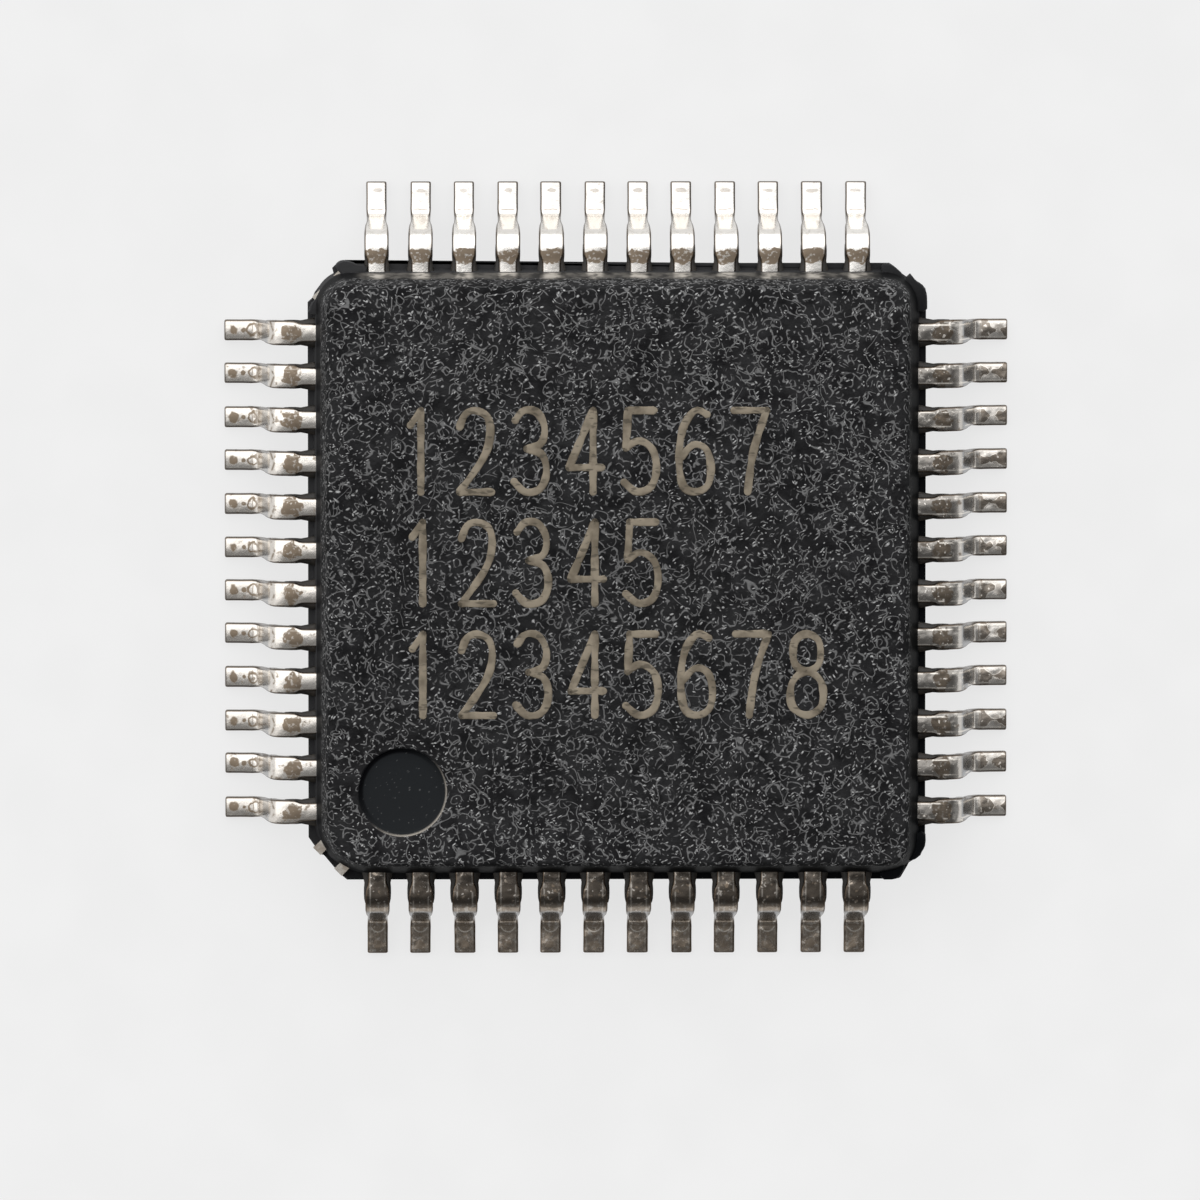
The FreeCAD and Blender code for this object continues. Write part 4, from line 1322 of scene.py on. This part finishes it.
# Numerals as lines in a box one wide and one high; a stroke that ends where it starts is closed.
NUMERALS = {
    "1": (((0.2, 0.82), (0.52, 1)), ((0.52, 1), (0.52, 0)),),
    "2": (
        ((0.02, 0.8), (0.2, 0.96), (0.52, 1), (0.88, 0.92), (0.96, 0.7), (0.75, 0.42), (0.02, 0)),
        ((0.02, 0), (1, 0)),
    ),
    "3": (
        ((0.04, 0.88), (0.3, 1), (0.7, 0.98), (0.94, 0.8), (0.84, 0.6), (0.4, 0.53)),
        ((0.4, 0.53), (0.86, 0.46), (1, 0.24), (0.8, 0.04), (0.35, 0), (0, 0.13)),
    ),
    "4": (((0.74, 0), (0.74, 1)), ((0.74, 1), (0, 0.3)), ((0, 0.3), (1, 0.3)),),
    "5": (
        ((0.92, 1), (0.12, 1)), ((0.12, 1), (0.06, 0.54)),
        ((0.06, 0.54), (0.45, 0.63), (0.86, 0.53), (1, 0.3), (0.84, 0.07), (0.4, 0), (0, 0.12)),
    ),
    "6": (
        (
            (0.86, 0.95), (0.5, 1), (0.12, 0.78), (0, 0.4), (0.12, 0.08), (0.5, 0), (0.88, 0.08),
            (0.98, 0.3), (0.84, 0.52), (0.45, 0.58), (0.04, 0.42),
        ),
    ),
    "7": (((0, 1), (1, 1)), ((1, 1), (0.6, 0.5), (0.42, 0)),),
    "8": (
        ((0.5, 1), (0.12, 0.9), (0.12, 0.64), (0.5, 0.54), (0.88, 0.64), (0.88, 0.9), (0.5, 1)),
        ((0.5, 0.54), (0.05, 0.4), (0.04, 0.12), (0.5, 0), (0.96, 0.12), (0.95, 0.4), (0.5, 0.54)),
    ),
}
# Each row of plain counting numerals: its text, and its lower left corner in millimetres.
MARKING_ROWS = (
    ("1234567", (-2.44, 0.965)),
    ("12345", (-2.42, -0.310)),
    ("12345678", (-2.42, -1.590)),
)


def make_numeral_lines(sizes):
    """Edges along the middle of every stroke of the marking."""
    bm = bmesh.new()
    width, height = sizes.marking_width, sizes.marking_height
    for text, (left, bottom) in MARKING_ROWS:
        for place, sign in enumerate(text):
            x = left * MM + place * sizes.marking_pitch
            for stroke in NUMERALS[sign]:
                closed = stroke[0] == stroke[-1]
                points = stroke[:-1] if closed else stroke
                line = [bm.verts.new((x + px * width, bottom * MM + py * height, 0.0)) for px, py in points]
                for pair in zip(line, line[1:]):
                    bm.edges.new(pair)
                if closed:
                    bm.edges.new((line[-1], line[0]))
    mesh = bpy.data.meshes.new("numeral_lines")
    bm.to_mesh(mesh)
    bm.free()
    return mesh


# Studio.


FLOOR_WIDTH = 3.0


def add_floor(colours):
    """Pale floor under the chip, wide enough to fill every view."""
    half = FLOOR_WIDTH / 2
    mesh = bpy.data.meshes.new("floor")
    corners = [(-half, -half, 0.0), (half, -half, 0.0), (half, half, 0.0), (-half, half, 0.0)]
    mesh.from_pydata(corners, [], [(0, 1, 2, 3)])
    mesh.materials.append(make_floor_paint(colours))
    floor = bpy.data.objects.new("floor", mesh)
    bpy.context.scene.collection.objects.link(floor)


# Light: the side that the bright wall stands on, and the strengths of the room, the wall and the horizon.
LIGHT_WALL = (-0.22, 0.97, 0.0)
DIM_ROOM = 0.20
BRIGHT_WALL = 1.75
HORIZON = 0.87


def add_world():
    """Soft studio: a broad light wall behind the chip and to its left, a dim room in front."""
    world = bpy.data.worlds.new("soft_studio")
    bpy.context.scene.world = world
    world.use_nodes = True
    tree = world.node_tree
    tree.nodes.clear()
    direction = add_node(tree, "ShaderNodeTexCoord").outputs["Generated"]
    towards = derive(tree, "dot", direction, LIGHT_WALL)
    wall = derive(tree, "ramp", towards, -0.16, 0.16, DIM_ROOM, BRIGHT_WALL)
    up = add_node(tree, "ShaderNodeSeparateXYZ", {"Vector": direction}).outputs["Z"]
    horizon = derive(tree, "ramp", up, 0.05, 0.10, 1.0, 0.0)
    inputs = {0: horizon, 2: wall, 3: HORIZON}
    level = add_node(tree, "ShaderNodeMix", inputs, data_type="FLOAT").outputs[0]
    light = add_node(tree, "ShaderNodeBackground", {"Color": (1.0, 1.0, 1.0, 1.0), "Strength": level})
    add_node(tree, "ShaderNodeOutputWorld", {"Surface": light.outputs[0]})


# Camera: aim point, distance and direction, found from the outlines of the body and of the leads.
AIM = Vector((0.0, 0.0, 0.75)) * MM
CAMERA_DISTANCE = 139.79 * MM
CAMERA_SIDE = math.sin(-0.0172)
CAMERA_FAR = math.sin(0.0715)
VIEW_WIDTH = 13.757 * MM
PICTURE = 1200
AIM_PIXEL = (616.97, 571.78)


def add_camera():
    """Camera almost straight above the chip, at the photograph's angle."""
    back = Vector((CAMERA_SIDE, CAMERA_FAR, math.sqrt(1 - CAMERA_SIDE ** 2 - CAMERA_FAR ** 2)))
    right = Vector((0.0, 1.0, 0.0)).cross(back).normalized()
    up = back.cross(right)
    data = bpy.data.cameras.new("camera")
    data.sensor_width = 36.0
    data.lens = data.sensor_width * CAMERA_DISTANCE / VIEW_WIDTH
    data.shift_x = (PICTURE / 2 - AIM_PIXEL[0]) / PICTURE
    data.shift_y = (AIM_PIXEL[1] - PICTURE / 2) / PICTURE
    data.clip_start = 0.01
    data.clip_end = 10.0
    camera = bpy.data.objects.new("camera", data)
    rotation = Matrix((right, up, back)).transposed().to_4x4()
    camera.matrix_world = Matrix.Translation(AIM + back * CAMERA_DISTANCE) @ rotation
    bpy.context.scene.collection.objects.link(camera)
    bpy.context.scene.camera = camera


def set_view():
    """Plain view settings."""
    bpy.context.scene.view_settings.view_transform = "Standard"


# Operators and panel.


class CHIP_OT_moulding(bpy.types.Operator):
    """Build the moulded body with its dimple and corner flash"""

    bl_idname = "chip.moulding"
    bl_label = "Moulded body"

    def execute(self, context):
        sizes, colours = context.scene.chip_moulding, context.scene.chip_colours
        material = make_compound(sizes, colours)
        add_piece("moulded_body_finish", make_moulding(sizes), material, ["moulded_body"])
        return {"FINISHED"}


class CHIP_OT_leads(bpy.types.Operator):
    """Build the rows of formed leads"""

    bl_idname = "chip.leads"
    bl_label = "Leads"

    def execute(self, context):
        sizes, colours = context.scene.chip_leads, context.scene.chip_colours
        material = make_tin(colours)
        mesh = run_tree(make_rows_tree(), make_lead(sizes), row_values(sizes, material, 7))
        add_piece("plated_leads", mesh, material, LEAD_NODES)
        return {"FINISHED"}


class CHIP_OT_flash(bpy.types.Operator):
    """Build the thin resin flash beside the leads"""

    bl_idname = "chip.flash"
    bl_label = "Resin flash"

    def execute(self, context):
        sizes = context.scene.chip_leads
        material = make_speckled("thin_resin_flash", FINISHES["thin_resin_flash"])
        values = row_values(sizes, material, 7)
        # Flash is more uneven than the leads and wider in the near row.
        values["Width Spread"] = 0.04
        values["Near Row Gain"] = 0.1
        mesh = run_tree(make_rows_tree(), make_flash_strips(sizes), values)
        add_piece("resin_flash", mesh, material)
        return {"FINISHED"}


class CHIP_OT_marking(bpy.types.Operator):
    """Draw plain counting numerals where the marking stands"""

    bl_idname = "chip.marking"
    bl_label = "Marking"

    def execute(self, context):
        sizes, colours = context.scene.chip_moulding, context.scene.chip_colours
        material = make_marking(colours)
        values = {
            "Stroke Width": sizes.marking_stroke,
            "Thickness": 0.005 * MM,
            "Waviness": 0.14,
            "Material": material,
        }
        mesh = run_tree(make_marking_tree(), make_numeral_lines(sizes), values)
        mesh.transform(Matrix.Translation((0.0, 0.0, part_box("moulded_body")[1].z)))
        mesh.shade_smooth()
        add_piece("marking", mesh, material)
        return {"FINISHED"}


class CHIP_OT_inside(bpy.types.Operator):
    """Finish the pieces inside the moulding"""

    bl_idname = "chip.inside"
    bl_label = "Inner pieces"

    def execute(self, context):
        finishes = {
            "satin_plated_copper": ["die_paddle"],
            "silver_filled_epoxy": ["die_adhesive"],
            "polished_silicon": ["die"],
            "drawn_gold": ["bond_wires_near", "bond_wires_right", "bond_wires_far", "bond_wires_left"],
        }
        for finish, nodes in finishes.items():
            material = make_speckled(finish, FINISHES[finish])
            for name in nodes:
                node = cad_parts[name]
                node.data.materials.clear()
                node.data.materials.append(material)
        return {"FINISHED"}


class CHIP_OT_studio(bpy.types.Operator):
    """Set the floor, the light and the camera"""

    bl_idname = "chip.studio"
    bl_label = "Studio"

    def execute(self, context):
        add_floor(context.scene.chip_colours)
        add_world()
        add_camera()
        set_view()
        return {"FINISHED"}


class CHIP_PT_panel(bpy.types.Panel):
    """Chip pieces and their sizes"""

    bl_idname = "CHIP_PT_panel"
    bl_label = "Quad flat pack chip"
    bl_space_type = "VIEW_3D"
    bl_region_type = "UI"
    bl_category = "Chip"

    def draw(self, context):
        column = self.layout.column()
        for operator in OPERATORS:
            column.operator(operator.bl_idname)
        for group in (context.scene.chip_moulding, context.scene.chip_leads, context.scene.chip_colours):
            for name in group.bl_rna.properties.keys():
                if name not in ("rna_type", "name"):
                    column.prop(group, name)


GROUPS = {"chip_moulding": ChipMoulding, "chip_leads": ChipLeads, "chip_colours": ChipColours}
OPERATORS = (
    CHIP_OT_moulding,
    CHIP_OT_leads,
    CHIP_OT_flash,
    CHIP_OT_marking,
    CHIP_OT_inside,
    CHIP_OT_studio,
)


def register():
    for kind in (*GROUPS.values(), *OPERATORS, CHIP_PT_panel):
        bpy.utils.register_class(kind)
    for name, group in GROUPS.items():
        setattr(bpy.types.Scene, name, PointerProperty(type=group))


def unregister():
    for name in GROUPS:
        delattr(bpy.types.Scene, name)
    for kind in reversed((*GROUPS.values(), *OPERATORS, CHIP_PT_panel)):
        bpy.utils.unregister_class(kind)


def main():
    register()
    bpy.ops.chip.moulding()
    bpy.ops.chip.leads()
    bpy.ops.chip.flash()
    bpy.ops.chip.marking()
    bpy.ops.chip.inside()
    bpy.ops.chip.studio()


if __name__ == "__main__":
    main()
